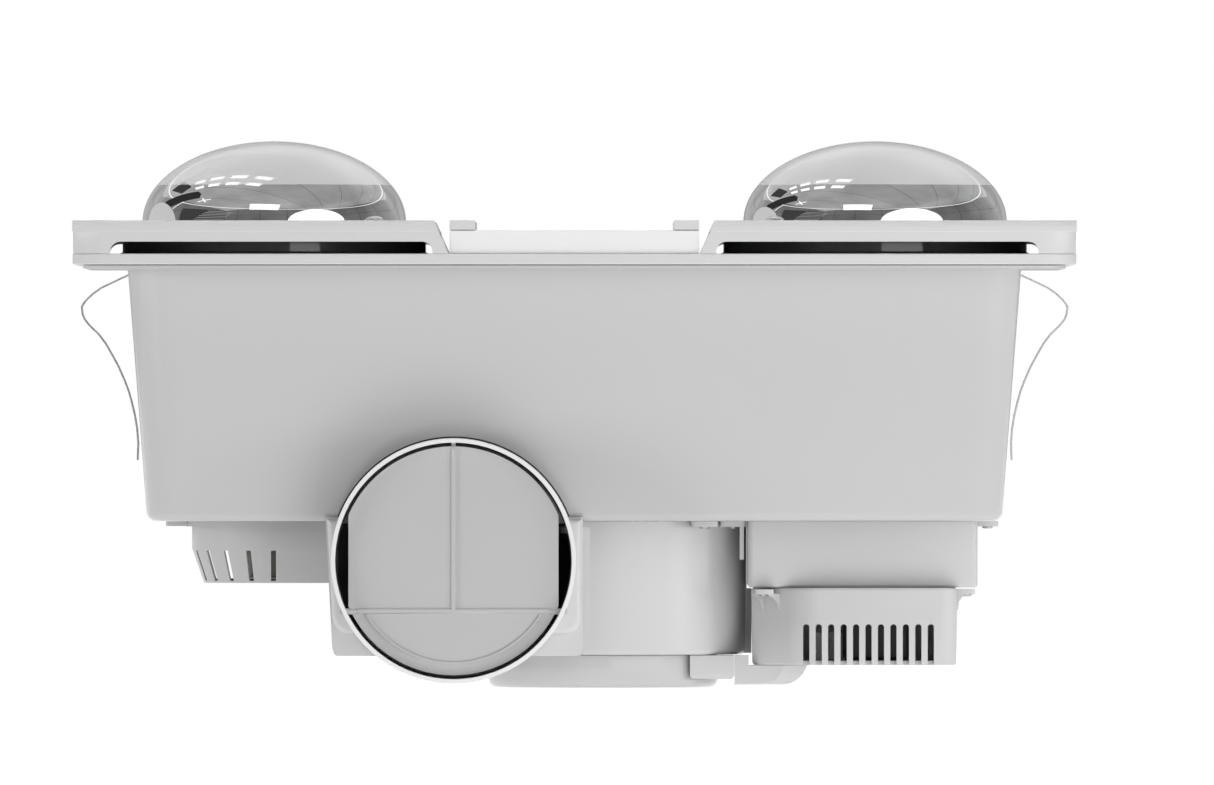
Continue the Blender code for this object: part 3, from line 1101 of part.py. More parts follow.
def make_adaptor():
    bore = SPIGOT_RADIUS - SPIGOT_WALL
    outer = lofted([adaptor_section(0.0, ADAPTOR_BACK), adaptor_section(0.0, ADAPTOR_FACE),
                    spigot_section(SPIGOT_RADIUS, SPIGOT_BACK), spigot_section(SPIGOT_RADIUS, SPIGOT_FRONT)])
    inner = lofted([mouth_section(ADAPTOR_BACK + CUT_OVERRUN), mouth_section(ADAPTOR_FACE),
                    spigot_section(bore, SPIGOT_BACK), spigot_section(bore, SPIGOT_FRONT - CUT_OVERRUN)])
    pivot_y = FLAP_Y - FLAP_THICKNESS / 2
    reach = SPIGOT_RADIUS + CUT_OVERRUN
    holes = rod(PIVOT_RADIUS + PIVOT_HOLE_GAP, (SPIGOT_X - reach, pivot_y, PIVOT_Z),
                (SPIGOT_X + reach, pivot_y, PIVOT_Z), PIN_SIDES)
    stop_back = FLAP_Y + SEAT_GAP + STOP_DEPTH
    stop = block((SPIGOT_X - STOP_WIDTH / 2, FLAP_Y + SEAT_GAP, SPIGOT_Z + bore - STOP_REACH),
                 (SPIGOT_X + STOP_WIDTH / 2, stop_back, SPIGOT_Z + bore + SPIGOT_WALL / 2))
    piece = sub_part("duct_adaptor", outer, WHITE, cut=[inner, holes])
    combine(piece, "UNION", [stop])


def flap_outline(radius, half_width):
    points = []
    for x, z in circle(radius, FLAP_STEPS, 180 / FLAP_STEPS):
        points.append((SPIGOT_X + max(-half_width, min(half_width, x)), SPIGOT_Z + z))
    return points


def make_damper_flap(swing):
    front = FLAP_Y - FLAP_THICKNESS
    plate = lofted([upright(flap_outline(FLAP_RADIUS, FLAP_HALF_WIDTH), front),
                    upright(flap_outline(FLAP_RADIUS, FLAP_HALF_WIDTH), FLAP_Y)])
    middle = FLAP_Y - FLAP_THICKNESS / 2
    pins = [rod(PIVOT_RADIUS, (SPIGOT_X + side * PIVOT_ROOT, middle, PIVOT_Z),
                (SPIGOT_X + side * PIVOT_REACH, middle, PIVOT_Z)) for _, side in sides()]
    half = FLAP_RIB_WIDTH / 2
    rib_front = front - FLAP_RIB_HEIGHT
    upright_rib = block((SPIGOT_X - half, rib_front, PIVOT_Z),
                        (SPIGOT_X + half, middle, SPIGOT_Z + FLAP_RADIUS - half))
    cross_rib = block((SPIGOT_X - PIVOT_ROOT, rib_front, PIVOT_Z - half),
                      (SPIGOT_X + PIVOT_ROOT, middle, PIVOT_Z + half))
    arc = []
    first = math.degrees(math.asin(-(PIVOT_DROP + half) / FLAP_ARC_RIB_RADIUS))
    for radius, order in ((FLAP_ARC_RIB_RADIUS, 1), (FLAP_ARC_RIB_RADIUS - FLAP_ARC_RIB_WIDTH, -1)):
        run = []
        for step in range(FINE_STEPS + 1):
            angle = math.radians(first + (-180 - 2 * first) * step / FINE_STEPS)
            run.append((SPIGOT_X + radius * math.cos(angle), SPIGOT_Z + radius * math.sin(angle)))
        arc += run[::order]
    arc_rib = lofted([upright(arc, rib_front), upright(arc, middle)])
    sub_part("damper_flap", plate, FLAP, add=pins + [upright_rib, cross_rib, arc_rib], carrier=swing)


def strip(points, side):
    """A flat spring of even thickness through points of (distance from the centre, height)."""
    half = CLIP_THICKNESS / 2
    places = [Vector(point) for point in points]
    one, other = [], []
    last = len(places) - 1
    for count, place in enumerate(places):
        ahead = places[min(count + 1, last)] - places[max(count - 1, 0)]
        normal = Vector((-ahead.y, ahead.x)).normalized() * half
        one.append(place + normal)
        other.append(place - normal)
    outline = [(side * place.x, place.y) for place in one + other[::-1]]
    return lofted([upright(outline, -CLIP_WIDTH / 2), upright(outline, CLIP_WIDTH / 2)])


def make_clips(presses, knees):
    eye = CLIP_PIN_RADIUS + CLIP_EYE_GAP
    eye_outer = eye + CLIP_THICKNESS
    lift = eye + CLIP_THICKNESS / 2
    knee = (CLIP_PIN_X + CLIP_REACH, CLIP_PIN_Z - CLIP_DROP)
    arm = []
    for along, rise in CLIP_ARM_SHARES:
        arm.append((CLIP_PIN_X + CLIP_REACH * along, CLIP_PIN_Z + CLIP_DROP * rise + lift * (1 - along)))
    tail = []
    for along, drop in CLIP_TAIL_SHARES:
        tail.append((knee[0] - CLIP_TAIL_RUN * along, knee[1] - CLIP_SPLIT_GAP - CLIP_TAIL_DROP * drop))
    arm.append((knee[0] - CLIP_THICKNESS / 2, knee[1]))
    tail.insert(0, (knee[0] - CLIP_THICKNESS / 2, knee[1] - CLIP_SPLIT_GAP))
    half = CLIP_WIDTH / 2
    inner_half = half + SLOT_MARGIN
    for name, side in sides():
        pin = (side * CLIP_PIN_X, CLIP_PIN_Z)
        ring = rod(eye_outer, (pin[0], -half, pin[1]), (pin[0], half, pin[1]))
        bore = rod(eye, (pin[0], -inner_half, pin[1]), (pin[0], inner_half, pin[1]))
        sub_part(f"clip_arm_{name}", strip(arm, side), STEEL, add=[ring], cut=[bore], carrier=presses[name])
        sub_part(f"clip_tail_{name}", strip(tail, side), STEEL, carrier=knees[name])
        reach = CLIP_PIN_LENGTH / 2
        hinge = rod(CLIP_PIN_RADIUS, (pin[0], -reach, pin[1]), (pin[0], reach, pin[1]))
        sub_part(f"clip_pin_{name}", hinge, STEEL)

        base_top = CLIP_PIN_Z - CLIP_BRACKET_DROP
        base_bottom = base_top - CLIP_BRACKET_BASE
        out_low = housing_half(base_bottom, HOUSING_WALL + SEAT_GAP)[0]
        out_high = housing_half(base_top, HOUSING_WALL + SEAT_GAP)[0]
        wide = inner_half + CLIP_BRACKET_THICKNESS
        sections = []
        for z, out in ((base_bottom, out_low), (base_top, out_high)):
            deep = out - CLIP_BRACKET_THICKNESS
            sections.append([(side * out, -wide, z), (side * out, wide, z), (side * deep, wide, z),
                             (side * deep, -wide, z)])
        base = lofted(sections)
        ears, holes = [], []
        ends = sorted((side * out_low, side * (CLIP_PIN_X - CLIP_EAR_INSET)))
        for across in (-1, 1):
            faces = sorted((across * inner_half, across * wide))
            ears.append(block((ends[0], faces[0], base_bottom + CLIP_BRACKET_THICKNESS),
                              (ends[1], faces[1], CLIP_PIN_Z + CLIP_EAR_ABOVE)))
            holes.append(rod(CLIP_PIN_RADIUS + SEAT_GAP, (pin[0], across * inner_half / 2, pin[1]),
                             (pin[0], across * 2 * inner_half, pin[1])))
        sub_part(f"clip_bracket_{name}", base, STEEL, add=ears, cut=[merged(holes)])


def build():
    for thing in list(bpy.data.objects):
        bpy.data.objects.remove(thing, do_unlink=True)
    fascia = joint_empty("fascia_lift", (0, 0, PLATE_BOTTOM))
    spin = joint_empty("impeller_spin", (FAN_X, FAN_Y, IMPELLER_BOTTOM))
    swing = joint_empty("damper_swing", (SPIGOT_X, FLAP_Y - FLAP_THICKNESS / 2, PIVOT_Z))
    presses, knees = {}, {}
    for name, side in sides():
        presses[name] = joint_empty(f"clip_press_{name}", (side * CLIP_PIN_X, 0, CLIP_PIN_Z))
        knees[name] = joint_empty(f"clip_knee_{name}",
                                  (side * (CLIP_PIN_X + CLIP_REACH), 0, CLIP_PIN_Z - CLIP_DROP))
    make_housing()
    make_fascia_plate(fascia)
    make_lamp_covers(fascia)
    make_centre_light(fascia)
    make_lamps()
    make_lampholder_cover_left()
    make_lampholder_cover_right()
    make_electrics_box()
    make_circuits()
    make_scroll()
    make_inlet_ring()
    make_impeller(spin)
    make_motor()
    make_lead_conduit()
    make_adaptor()
    make_damper_flap(swing)
    make_clips(presses, knees)


build()
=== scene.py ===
import math

import bmesh
import bpy
from mathutils import Matrix, Vector


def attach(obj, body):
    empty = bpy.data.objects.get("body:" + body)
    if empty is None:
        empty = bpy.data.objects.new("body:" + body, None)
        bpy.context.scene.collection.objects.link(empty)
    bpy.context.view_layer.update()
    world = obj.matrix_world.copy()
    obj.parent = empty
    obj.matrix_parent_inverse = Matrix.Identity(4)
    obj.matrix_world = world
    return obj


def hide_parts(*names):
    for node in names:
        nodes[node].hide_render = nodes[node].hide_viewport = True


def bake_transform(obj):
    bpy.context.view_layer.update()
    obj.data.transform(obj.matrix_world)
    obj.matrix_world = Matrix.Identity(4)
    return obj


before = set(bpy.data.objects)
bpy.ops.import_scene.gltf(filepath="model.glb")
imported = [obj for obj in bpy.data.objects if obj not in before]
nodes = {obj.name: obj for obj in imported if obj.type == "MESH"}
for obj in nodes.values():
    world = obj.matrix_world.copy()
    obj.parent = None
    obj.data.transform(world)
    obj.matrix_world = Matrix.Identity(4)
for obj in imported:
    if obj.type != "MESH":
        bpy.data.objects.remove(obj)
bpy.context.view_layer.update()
scene = bpy.context.scene
hands = (("left", -1), ("right", 1))
past = 0.003  # how far a cutting shape reaches past the face that it cuts
quarter = math.radians(90)
sharpTurn = math.radians(32)  # edges that turn more than this stay crisp
hair = 1e-6  # points nearer than this count as one
touching = 1e-5  # how near to a face an edge's ends lie when it is on that face
aligned = 0.98  # the share of an edge's length that runs along the axis that it follows
print("frame loaded")

# The camera looks level along +Y from far off, as the photograph does
cameraSet = {"lens": 1000, "width": 0.58213, "plane": -0.085, "aim": (0.01558, 0.14193)}

cameraData = bpy.data.cameras.new("camera")
cameraData.lens = cameraSet["lens"]
cameraData.clip_start, cameraData.clip_end = 1, 100
camera = bpy.data.objects.new("camera", cameraData)
away = cameraSet["width"] * cameraSet["lens"] / cameraData.sensor_width
camera.location = (cameraSet["aim"][0], cameraSet["plane"] - away, cameraSet["aim"][1])
camera.rotation_euler = (quarter, 0, 0)
scene.collection.objects.link(camera)
scene.camera = camera


class Wire:
    # One socket, with arithmetic that adds the Math nodes
    def __init__(self, finish, socket):
        self.finish, self.socket = finish, socket

    def maths(self, operation, first, second):
        return self.finish.node("ShaderNodeMath", {"operation": operation}, {0: first, 1: second})

    def __add__(self, other):
        return self.maths("ADD", self, other)

    __radd__ = __add__

    def __rsub__(self, other):
        return self.maths("SUBTRACT", other, self)

    def __mul__(self, other):
        return self.maths("MULTIPLY", self, other)

    __rmul__ = __mul__

    def above(self, level):
        return self.maths("GREATER_THAN", self, level)

    def folded(self, every):
        return self.maths("PINGPONG", self, every)


class Finish:
    # A material on the plain principled shader; bend is its index of refraction
    def __init__(self, name, roughness=0.4, metallic=0.0, bend=1.5):
        self.material = bpy.data.materials.new(name)
        self.material.use_nodes = True
        self.tree = self.material.node_tree
        self.shader = self.tree.nodes["Principled BSDF"]
        for key, value in (("Roughness", roughness), ("Metallic", metallic), ("IOR", bend)):
            self.shader.inputs[key].default_value = value
        self.place = self.node("ShaderNodeTexCoord", output="Object")

    def node(self, kind, settings=None, inputs=None, output=0):
        item = self.tree.nodes.new(kind)
        for name, value in (settings or {}).items():
            setattr(item, name, value)
        for name, value in (inputs or {}).items():
            if isinstance(value, Wire):
                self.tree.links.new(value.socket, item.inputs[name])
            else:
                item.inputs[name].default_value = value
        return Wire(self, item.outputs[output])

    def feed(self, name, wire):
        self.tree.links.new(wire.socket, self.shader.inputs[name])

    def grain(self, scale, detail=3.0, stretch=(1, 1, 1)):
        spread = self.node("ShaderNodeMapping", {}, {"Vector": self.place, "Scale": stretch})
        return self.node("ShaderNodeTexNoise", {}, {"Vector": spread, "Scale": scale, "Detail": detail})

    def tones(self, mask, dark, light):
        return self.node("ShaderNodeMix", {"data_type": "RGBA"}, {0: mask, 6: (*dark, 1), 7: (*light, 1)}, 2)

    def spread(self, wire, low, high, start=0.3, stop=0.7):
        return self.node("ShaderNodeMapRange", {}, {"Value": wire, "From Min": start, "From Max": stop,
                                                    "To Min": low, "To Max": high})

    def bump(self, height, distance):
        self.feed("Normal", self.node("ShaderNodeBump", {}, {"Height": height, "Distance": distance}, "Normal"))

    def glow(self, colour, strength):
        return self.node("ShaderNodeEmission", {}, {"Color": colour, "Strength": strength})

    def show(self, surface):
        # Takes the place of the principled shader
        self.tree.links.new(surface.socket, self.tree.nodes["Material Output"].inputs["Surface"])


def shade(colour, change):
    return tuple(min(1.0, part * change) for part in colour)


# A grain is its scale and its detail; shares say how two grains mix
plasticSet = {"slow": (9, 2), "mid": (60, 4), "fineDetail": 2, "shares": (0.7, 0.3), "variation": 0.012,
              "gloss": (0.92, 1.10)}


def mouldedPlastic(name, colour, roughness, depth, fineness=1400, bend=1.5):
    # Fine spark texture of a moulding tool, slow changes of tone, and handling marks in the gloss
    finish = Finish(name, roughness, bend=bend)
    slow, mid = finish.grain(*plasticSet["slow"]), finish.grain(*plasticSet["mid"])
    fine = finish.grain(fineness, plasticSet["fineDetail"])
    most, least = plasticSet["shares"]
    tone = finish.spread(slow * most + mid * least, 0, 1)
    dark, light = 1 - plasticSet["variation"], 1 + plasticSet["variation"] / 2
    finish.feed("Base Color", finish.tones(tone, shade(colour, dark), shade(colour, light)))
    smooth, dull = plasticSet["gloss"]
    finish.feed("Roughness", finish.spread(mid * 0.5 + fine * 0.5, roughness * smooth, roughness * dull))
    finish.bump(fine, depth)
    return finish


metalSet = {"slow": (14, 3), "lines": (500, 4), "window": (0.35, 0.65), "variation": 0.08, "gloss": (0.07, 0.09),
            "depth": 0.00002}


def metalSheet(name, colour, roughness, stretch):
    # Rolling or brushing marks drawn out along one way, over a slow cloudiness
    finish = Finish(name, roughness, 1.0)
    slow, lines = finish.grain(*metalSet["slow"]), finish.grain(*metalSet["lines"], stretch)
    tone = finish.spread(slow * 0.5 + lines * 0.5, 0, 1, *metalSet["window"])
    dark, light = 1 - metalSet["variation"], 1 + metalSet["variation"]
    finish.feed("Base Color", finish.tones(tone, shade(colour, dark), shade(colour, light)))
    less, more = metalSet["gloss"]
    finish.feed("Roughness", finish.spread(lines, roughness - less, roughness + more, *metalSet["window"]))
    finish.bump(lines, metalSet["depth"])
    return finish


mirrorSet = {"slow": (20, 2), "mid": (110, 4), "fine": (900, 2), "shares": (0.7, 0.3), "depth": 0.000004,
             "silver": ((0.84, 0.845, 0.85), (0.90, 0.90, 0.90)), "frost": ((0.91, 0.91, 0.91), (0.95, 0.95, 0.95)),
             "frosted": 0.50, "frostRough": 0.03, "rough": (0.01, 0.03)}


def silveredLamp(name, level):
    # Mirror glass, with a satin frosting over the crown above one level
    finish = Finish(name, sum(mirrorSet["rough"]) / 2, 1.0)
    slow, mid, fine = (finish.grain(*mirrorSet[key]) for key in ("slow", "mid", "fine"))
    height = finish.node("ShaderNodeSeparateXYZ", {}, {"Vector": finish.place}, 2)
    crown = height.above(level)
    tone = finish.spread(slow, 0, 1)
    silver, frost = (finish.tones(tone, *mirrorSet[key]) for key in ("silver", "frost"))
    mixed = finish.node("ShaderNodeMix", {"data_type": "RGBA"}, {0: crown, 6: silver, 7: frost}, 2)
    finish.feed("Base Color", mixed)
    finish.feed("Metallic", 1 - crown * mirrorSet["frosted"])
    finish.feed("Roughness", crown * mirrorSet["frostRough"] + finish.spread(mid, *mirrorSet["rough"]))
    most, least = mirrorSet["shares"]
    finish.bump(mid * most + fine * least, mirrorSet["depth"])
    return finish


finishes = {
    "fascia": mouldedPlastic("fasciaWhite", (0.71, 0.71, 0.71), 0.34, 0.00002),
    "diffuser": mouldedPlastic("diffuserMilk", (0.90, 0.90, 0.90), 0.42, 0.00001),
    # Painted light: the collar is black plastic, given a lifted grey so that the dim recess behind the windows shows
    # it lit
    "collar": mouldedPlastic("collarBlackPaintedLight", (0.32, 0.32, 0.32), 0.07, 0.0000004, bend=1.8),
    "housing": mouldedPlastic("housingPaint", (0.565, 0.565, 0.565), 0.13, 0.000001, 900, bend=1.6),
    "shell": mouldedPlastic("shellPlastic", (0.625, 0.625, 0.625), 0.24, 0.000003, bend=1.6),
    # Painted shade: the cup is the shell's plastic made darker, for the shade it lies in under the adaptor and the
    # housing
    "cup": mouldedPlastic("cupPlasticPaintedShade", (0.50, 0.50, 0.50), 0.30, 0.000008),
    "rim": mouldedPlastic("rimPlastic", (0.84, 0.84, 0.84), 0.36, 0.000008),
    "adaptor": mouldedPlastic("adaptorPlastic", (0.67, 0.67, 0.67), 0.30, 0.000008),
    "flap": mouldedPlastic("flapPlastic", (0.525, 0.525, 0.525), 0.36, 0.000008),
    "impeller": mouldedPlastic("impellerPlastic", (0.05, 0.05, 0.052), 0.40, 0.00003),
    "lamp": silveredLamp("lampMirror", 0.2419),
    "cap": metalSheet("capBrass", (0.70, 0.56, 0.30), 0.28, (1, 1, 0.05)),
    "holder": mouldedPlastic("holderGlaze", (0.78, 0.76, 0.70), 0.22, 0.00001, 300),
    "spring": metalSheet("springSteel", (0.58, 0.58, 0.59), 0.30, (1, 0.03, 1)),
    "motor": metalSheet("motorSteel", (0.42, 0.42, 0.43), 0.38, (1, 1, 0.04)),
    "reflector": metalSheet("reflectorMetal", (0.78, 0.78, 0.78), 0.22, (1, 1, 0.06)),
    "winding": metalSheet("windingWire", (0.62, 0.28, 0.12), 0.34, (0.05, 1, 1)),
    "board": mouldedPlastic("boardWhite", (0.76, 0.77, 0.75), 0.38, 0.00001),
    "black": mouldedPlastic("blackPlastic", (0.030, 0.030, 0.032), 0.40, 0.00004),
    # This dark rubber is the cable bush's, and it also colours the painted shadow strip and the painted shade sheet on
    # the spigot
    "rubberAndShade": mouldedPlastic("bushRubberAndPaintedShade", (0.022, 0.022, 0.022), 0.62, 0.00005),
    "screw": metalSheet("screwZinc", (0.56, 0.56, 0.57), 0.30, (1, 1, 0.2)),
}
print("finishes made")


def boxShape(low, high):
    shape = bmesh.new()
    bmesh.ops.create_cube(shape, size=1)
    low, high = Vector(low), Vector(high)
    bmesh.ops.scale(shape, vec=high - low, verts=shape.verts)
    bmesh.ops.translate(shape, vec=(low + high) / 2, verts=shape.verts)
    return shape


def rodShape(radius, start, end, sides=48):
    shape = bmesh.new()
    start, end = Vector(start), Vector(end)
    bmesh.ops.create_cone(shape, cap_ends=True, segments=sides, radius1=radius, radius2=radius,
                          depth=(end - start).length)
    turn = (end - start).to_track_quat("Z", "Y").to_matrix().to_4x4()
    bmesh.ops.transform(shape, matrix=Matrix.Translation((start + end) / 2) @ turn, verts=shape.verts)
    return shape


def spinShape(profile, sides=96, at=(0, 0)):
    # A closed profile of (radius, height) spun about an upright axis
    shape = bmesh.new()
    verts = [shape.verts.new((radius, 0, z)) for radius, z in profile]
    edges = [shape.edges.new((verts[i - 1], verts[i])) for i in range(len(verts))]
    bmesh.ops.spin(shape, geom=verts + edges, cent=(0, 0, 0), axis=(0, 0, 1), angle=math.radians(360),
                   steps=sides, use_merge=True)
    bmesh.ops.remove_doubles(shape, verts=shape.verts, dist=hair)
    bmesh.ops.delete(shape, geom=[edge for edge in shape.edges if edge.is_wire], context="EDGES")
    bmesh.ops.recalc_face_normals(shape, faces=shape.faces)
    bmesh.ops.translate(shape, vec=(*at, 0), verts=shape.verts)
    return shape


def vertsOf(items):
    return [item for item in items if isinstance(item, bmesh.types.BMVert)]


def placed(shape, spot, angle, axis):
    # Turned about an axis through the origin, then moved
    turn = Matrix.Translation(spot) @ Matrix.Rotation(angle, 4, axis)
    bmesh.ops.transform(shape, matrix=turn, verts=shape.verts)
    return shape


def plateShape(outline, low, high, axis=2):
    # A flat outline drawn out along X, Y or Z
    shape = bmesh.new()
    lift = [0, 0, 0]
    lift[axis] = high - low
    corners = []
    for u, v in outline:
        place = [u, v]
        place.insert(axis, low)
        corners.append(shape.verts.new(place))
    face = shape.faces.new(corners)
    moved = bmesh.ops.extrude_face_region(shape, geom=[face])["geom"]
    bmesh.ops.translate(shape, vec=lift, verts=vertsOf(moved))
    bmesh.ops.recalc_face_normals(shape, faces=shape.faces)
    return shape


def runsAlong(edge, axis):
    step = edge.verts[1].co - edge.verts[0].co
    return abs(step[axis]) > aligned * step.length


def liesAt(edge, axis, value, reach=touching):
    return all(abs(vert.co[axis] - value) < reach for vert in edge.verts)


def roundOff(shape, width, chosen, segments=4):
    edges = [edge for edge in shape.edges if chosen(edge)]
    bmesh.ops.bevel(shape, geom=edges, offset=width, segments=segments, profile=0.5, affect="EDGES",
                    material=-1, clamp_overlap=True)
    return shape


def cornerBox(low, high, radius, segments=8, axis=2):
    # A box whose four edges along one axis are rounded
    return roundOff(boxShape(low, high), radius, lambda edge: runsAlong(edge, axis), segments)


def splitAt(shape, place, normal, cleared):
    # Splits the faces along a plane, and may clear what lies beyond it
    return bmesh.ops.bisect_plane(shape, geom=shape.verts[:] + shape.edges[:] + shape.faces[:], dist=hair,
                                  plane_co=place, plane_no=normal, clear_outer=cleared)


def sliced(shape, place, normal):
    # Cuts away what lies beyond a plane and closes the cut
    found = splitAt(shape, place, Vector(normal).normalized(), True)
    rim = [item for item in found["geom_cut"] if isinstance(item, bmesh.types.BMEdge)]
    made = bmesh.ops.contextual_create(shape, geom=rim)["faces"]
    bmesh.ops.recalc_face_normals(shape, faces=shape.faces)
    return made


def gathered(shapes):
    whole = bmesh.new()
    for shape in shapes:
        mesh = meshOf("part", shape)
        whole.from_mesh(mesh)
        bpy.data.meshes.remove(mesh)
    return whole


def meshOf(name, shape):
    mesh = bpy.data.meshes.new(name)
    shape.to_mesh(mesh)
    shape.free()
    return mesh


def carve(piece, cutters, operation="DIFFERENCE"):
    for cutter in cutters:
        helper = bpy.data.objects.new("cutter", meshOf("cutter", cutter))
        scene.collection.objects.link(helper)
        step = piece.modifiers.new("carve", "BOOLEAN")
        step.operation, step.object, step.solver = operation, helper, "EXACT"
        graph = bpy.context.evaluated_depsgraph_get()
        made = bpy.data.meshes.new_from_object(piece.evaluated_get(graph), depsgraph=graph)
        piece.modifiers.clear()
        piece.data = made
        bpy.data.objects.remove(helper, do_unlink=True)


def addPiece(name, shape, look, body, stands=(), joins=(), cuts=(), edge=0.0, segments=2):
    piece = bpy.data.objects.new(name, meshOf(name, shape))
    scene.collection.objects.link(piece)
    carve(piece, joins, "UNION")
    carve(piece, cuts)
    piece.data.materials.clear()
    piece.data.materials.append(finishes[look].material)
    piece.data.shade_smooth()
    if edge:
        bevel = piece.modifiers.new("edges", "BEVEL")
        bevel.width, bevel.segments, bevel.limit_method = edge, segments, "ANGLE"
        bevel.angle_limit = sharpTurn
        bevel.harden_normals = True
    else:
        piece.data.set_sharp_from_angle(angle=sharpTurn)
    if body:
        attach(piece, body)
    if stands:
        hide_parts(*stands)
    return piece


# What the housing carries and the fascia lies on, in metres
levels = {"scrollLow": 0.0158, "back": 0.0803, "flangeLow": 0.2012, "flangeHigh": 0.2028, "plateLow": 0.2031,
          "plateHigh": 0.2083, "coverLow": 0.20832, "band": 0.2189, "crest": 0.2242, "scrollHigh": 0.0800}
lampX = 0.1448  # each lamp's axis stands this far from the middle

plateSet = {"size": (0.480, 0.290), "corner": 0.016, "skirt": 0.008, "skin": 0.0022, "lampHole": 0.0686,
            "slot": (0.046, 0.030, 0.005), "spacing": 0.052, "margin": 0.025}


def makePlate():
    half = (plateSet["size"][0] / 2, plateSet["size"][1] / 2)
    low, high = levels["plateLow"], levels["plateHigh"]
    skirt = plateSet["skirt"]
    under = cornerBox((skirt - half[0], skirt - half[1], low - past),
                      (half[0] - skirt, half[1] - skirt, high - plateSet["skin"]), plateSet["corner"] - skirt)
    holes = []
    long, wide, corner = plateSet["slot"]
    for _, side in hands:
        holes.append(rodShape(plateSet["lampHole"], (side * lampX, 0, low - past), (side * lampX, 0, high + past), 96))
        for count in (-1, 0, 1):
            for across in (-1, 1):
                middle = (side * lampX + count * plateSet["spacing"],
                          across * (half[1] - plateSet["margin"] - wide / 2))
                holes.append(cornerBox((middle[0] - long / 2, middle[1] - wide / 2, low - past),
                                       (middle[0] + long / 2, middle[1] + wide / 2, high + past), corner, 5))
    body = cornerBox((-half[0], -half[1], low), (half[0], half[1], high), plateSet["corner"], 12)
    addPiece("fasciaPlate", body, "fascia", "fascia", ["fascia_plate"], cuts=[under, gathered(holes)],
             edge=0.0006, segments=3)


coverSet = {"inner": 0.0599, "outer": 0.240, "half": 0.145, "lean": 0.0072, "wall": 0.002, "roof": 0.0025,
            "corner": 0.016, "edge": 0.0034, "step": 0.00025, "lap": 0.0006, "hole": 0.0665, "window": 0.154,
            "windowHigh": 0.0057, "windowCorner": 0.005, "rearMore": 0.0045, "split": 0.0005}


def coverBlock(side, inset, low, high, radius):
    inner, outer, half = coverSet["inner"] + inset, coverSet["outer"] - inset, coverSet["half"] - inset
    ends = sorted((side * inner, side * outer))
    shape = boxShape((ends[0], -half, low), (ends[1], half, high))
    if radius:
        roundOff(shape, radius, lambda edge: runsAlong(edge, 2) and liesAt(edge, 0, side * outer), 12)
    # The inboard end leans back by the same slope at every level
    for vert in shape.verts:
        if abs(vert.co.x - side * inner) < hair:
            share = (vert.co.z - levels["coverLow"]) / (levels["crest"] - levels["coverLow"])
            vert.co.x += side * coverSet["lean"] * share
    return shape


def makeCovers():
    low, band, crest = levels["coverLow"], levels["band"], levels["crest"]
    for name, side in hands:
        top = coverBlock(side, 0, band, crest, 0)
        roundOff(top, coverSet["edge"], lambda edge: liesAt(edge, 2, crest) and runsAlong(edge, 0), 8)
        skirt = coverBlock(side, coverSet["step"], low, band + coverSet["lap"], coverSet["corner"])
        inside = coverBlock(side, coverSet["wall"], low - past, crest - coverSet["roof"],
                            coverSet["corner"] - coverSet["wall"])
        hole = rodShape(coverSet["hole"], (side * lampX, 0, band - past), (side * lampX, 0, crest + past), 128)
        reach, half = coverSet["half"] + past, coverSet["window"] / 2
        windows = []
        # The rear intake reaches a little further out than the front one
        for ends, more in (((-reach, 0), 0), ((coverSet["split"], reach), coverSet["rearMore"])):
            span = sorted((side * (lampX + half + more), side * (lampX - half)))
            windows.append(cornerBox((span[0], ends[0], low - coverSet["windowHigh"]),
                                     (span[1], ends[1], low + coverSet["windowHigh"]), coverSet["windowCorner"], 8, 1))
        addPiece("lampCover_" + name, skirt, "fascia", "fascia", ["lamp_cover_" + name], joins=[top],
                 cuts=[inside, hole, gathered(windows)], edge=0.0002)


collarSet = {"radius": 0.0731, "wall": 0.0015, "high": 0.2214, "lip": 0.8}


def makeCollars():
    for name, side in hands:
        outer, low, high = collarSet["radius"], levels["coverLow"], collarSet["high"]
        inner = outer - collarSet["wall"]
        lip = collarSet["wall"] * collarSet["lip"]
        # The foot turns out into a small lip
        profile = ((inner, low), (outer + lip, low), (outer + lip, low + lip / 2), (outer, low + lip), (outer, high),
                   (inner, high))
        # The collar's lifted grey is painted light for the dim recess behind the windows
        addPiece("lampCollar_" + name, spinShape(profile, 128, (side * lampX, 0)), "collar", "fascia",
                 ["lamp_collar_" + name], edge=0.0002)


lightSet = {"half": (0.0596, 0.143), "high": 0.2194, "wall": 0.002, "trim": 0.012, "trimLow": 0.2197,
            "board": 0.2102, "chips": (2, 14), "chipStep": (0.045, 0.0165), "chip": 0.0028,
            "chipHigh": (0.0001, 0.0009)}


def makeLight():
    half, low, high = lightSet["half"], levels["coverLow"], lightSet["high"]
    wall, crest = lightSet["wall"], levels["crest"]
    tray = boxShape((-half[0], -half[1], low), (half[0], half[1], high))
    inside = boxShape((wall - half[0], wall - half[1], low - wall), (half[0] - wall, half[1] - wall, high - wall))
    addPiece("lightDiffuser", tray, "diffuser", "fascia", ["light_diffuser"], cuts=[inside], edge=0.0004, segments=3)
    for name, side in hands:
        ends = sorted((side * half[0], side * (half[0] - lightSet["trim"])))
        bar = boxShape((ends[0], -half[1], lightSet["trimLow"]), (ends[1], half[1], crest))
        addPiece("lightTrim_" + name, bar, "fascia", "fascia", ["light_trim_" + name], edge=0.00025)
    chips = []
    rows, along = lightSet["chips"]
    size, (under, over) = lightSet["chip"] / 2, lightSet["chipHigh"]
    for row in range(rows):
        for count in range(along):
            x = (row - (rows - 1) / 2) * lightSet["chipStep"][0]
            y = (count - (along - 1) / 2) * lightSet["chipStep"][1]
            chips.append(boxShape((x - size, y - size, lightSet["board"] + under),
                                  (x + size, y + size, lightSet["board"] + over)))
    addPiece("lightChips", gathered(chips), "cap", "fascia")


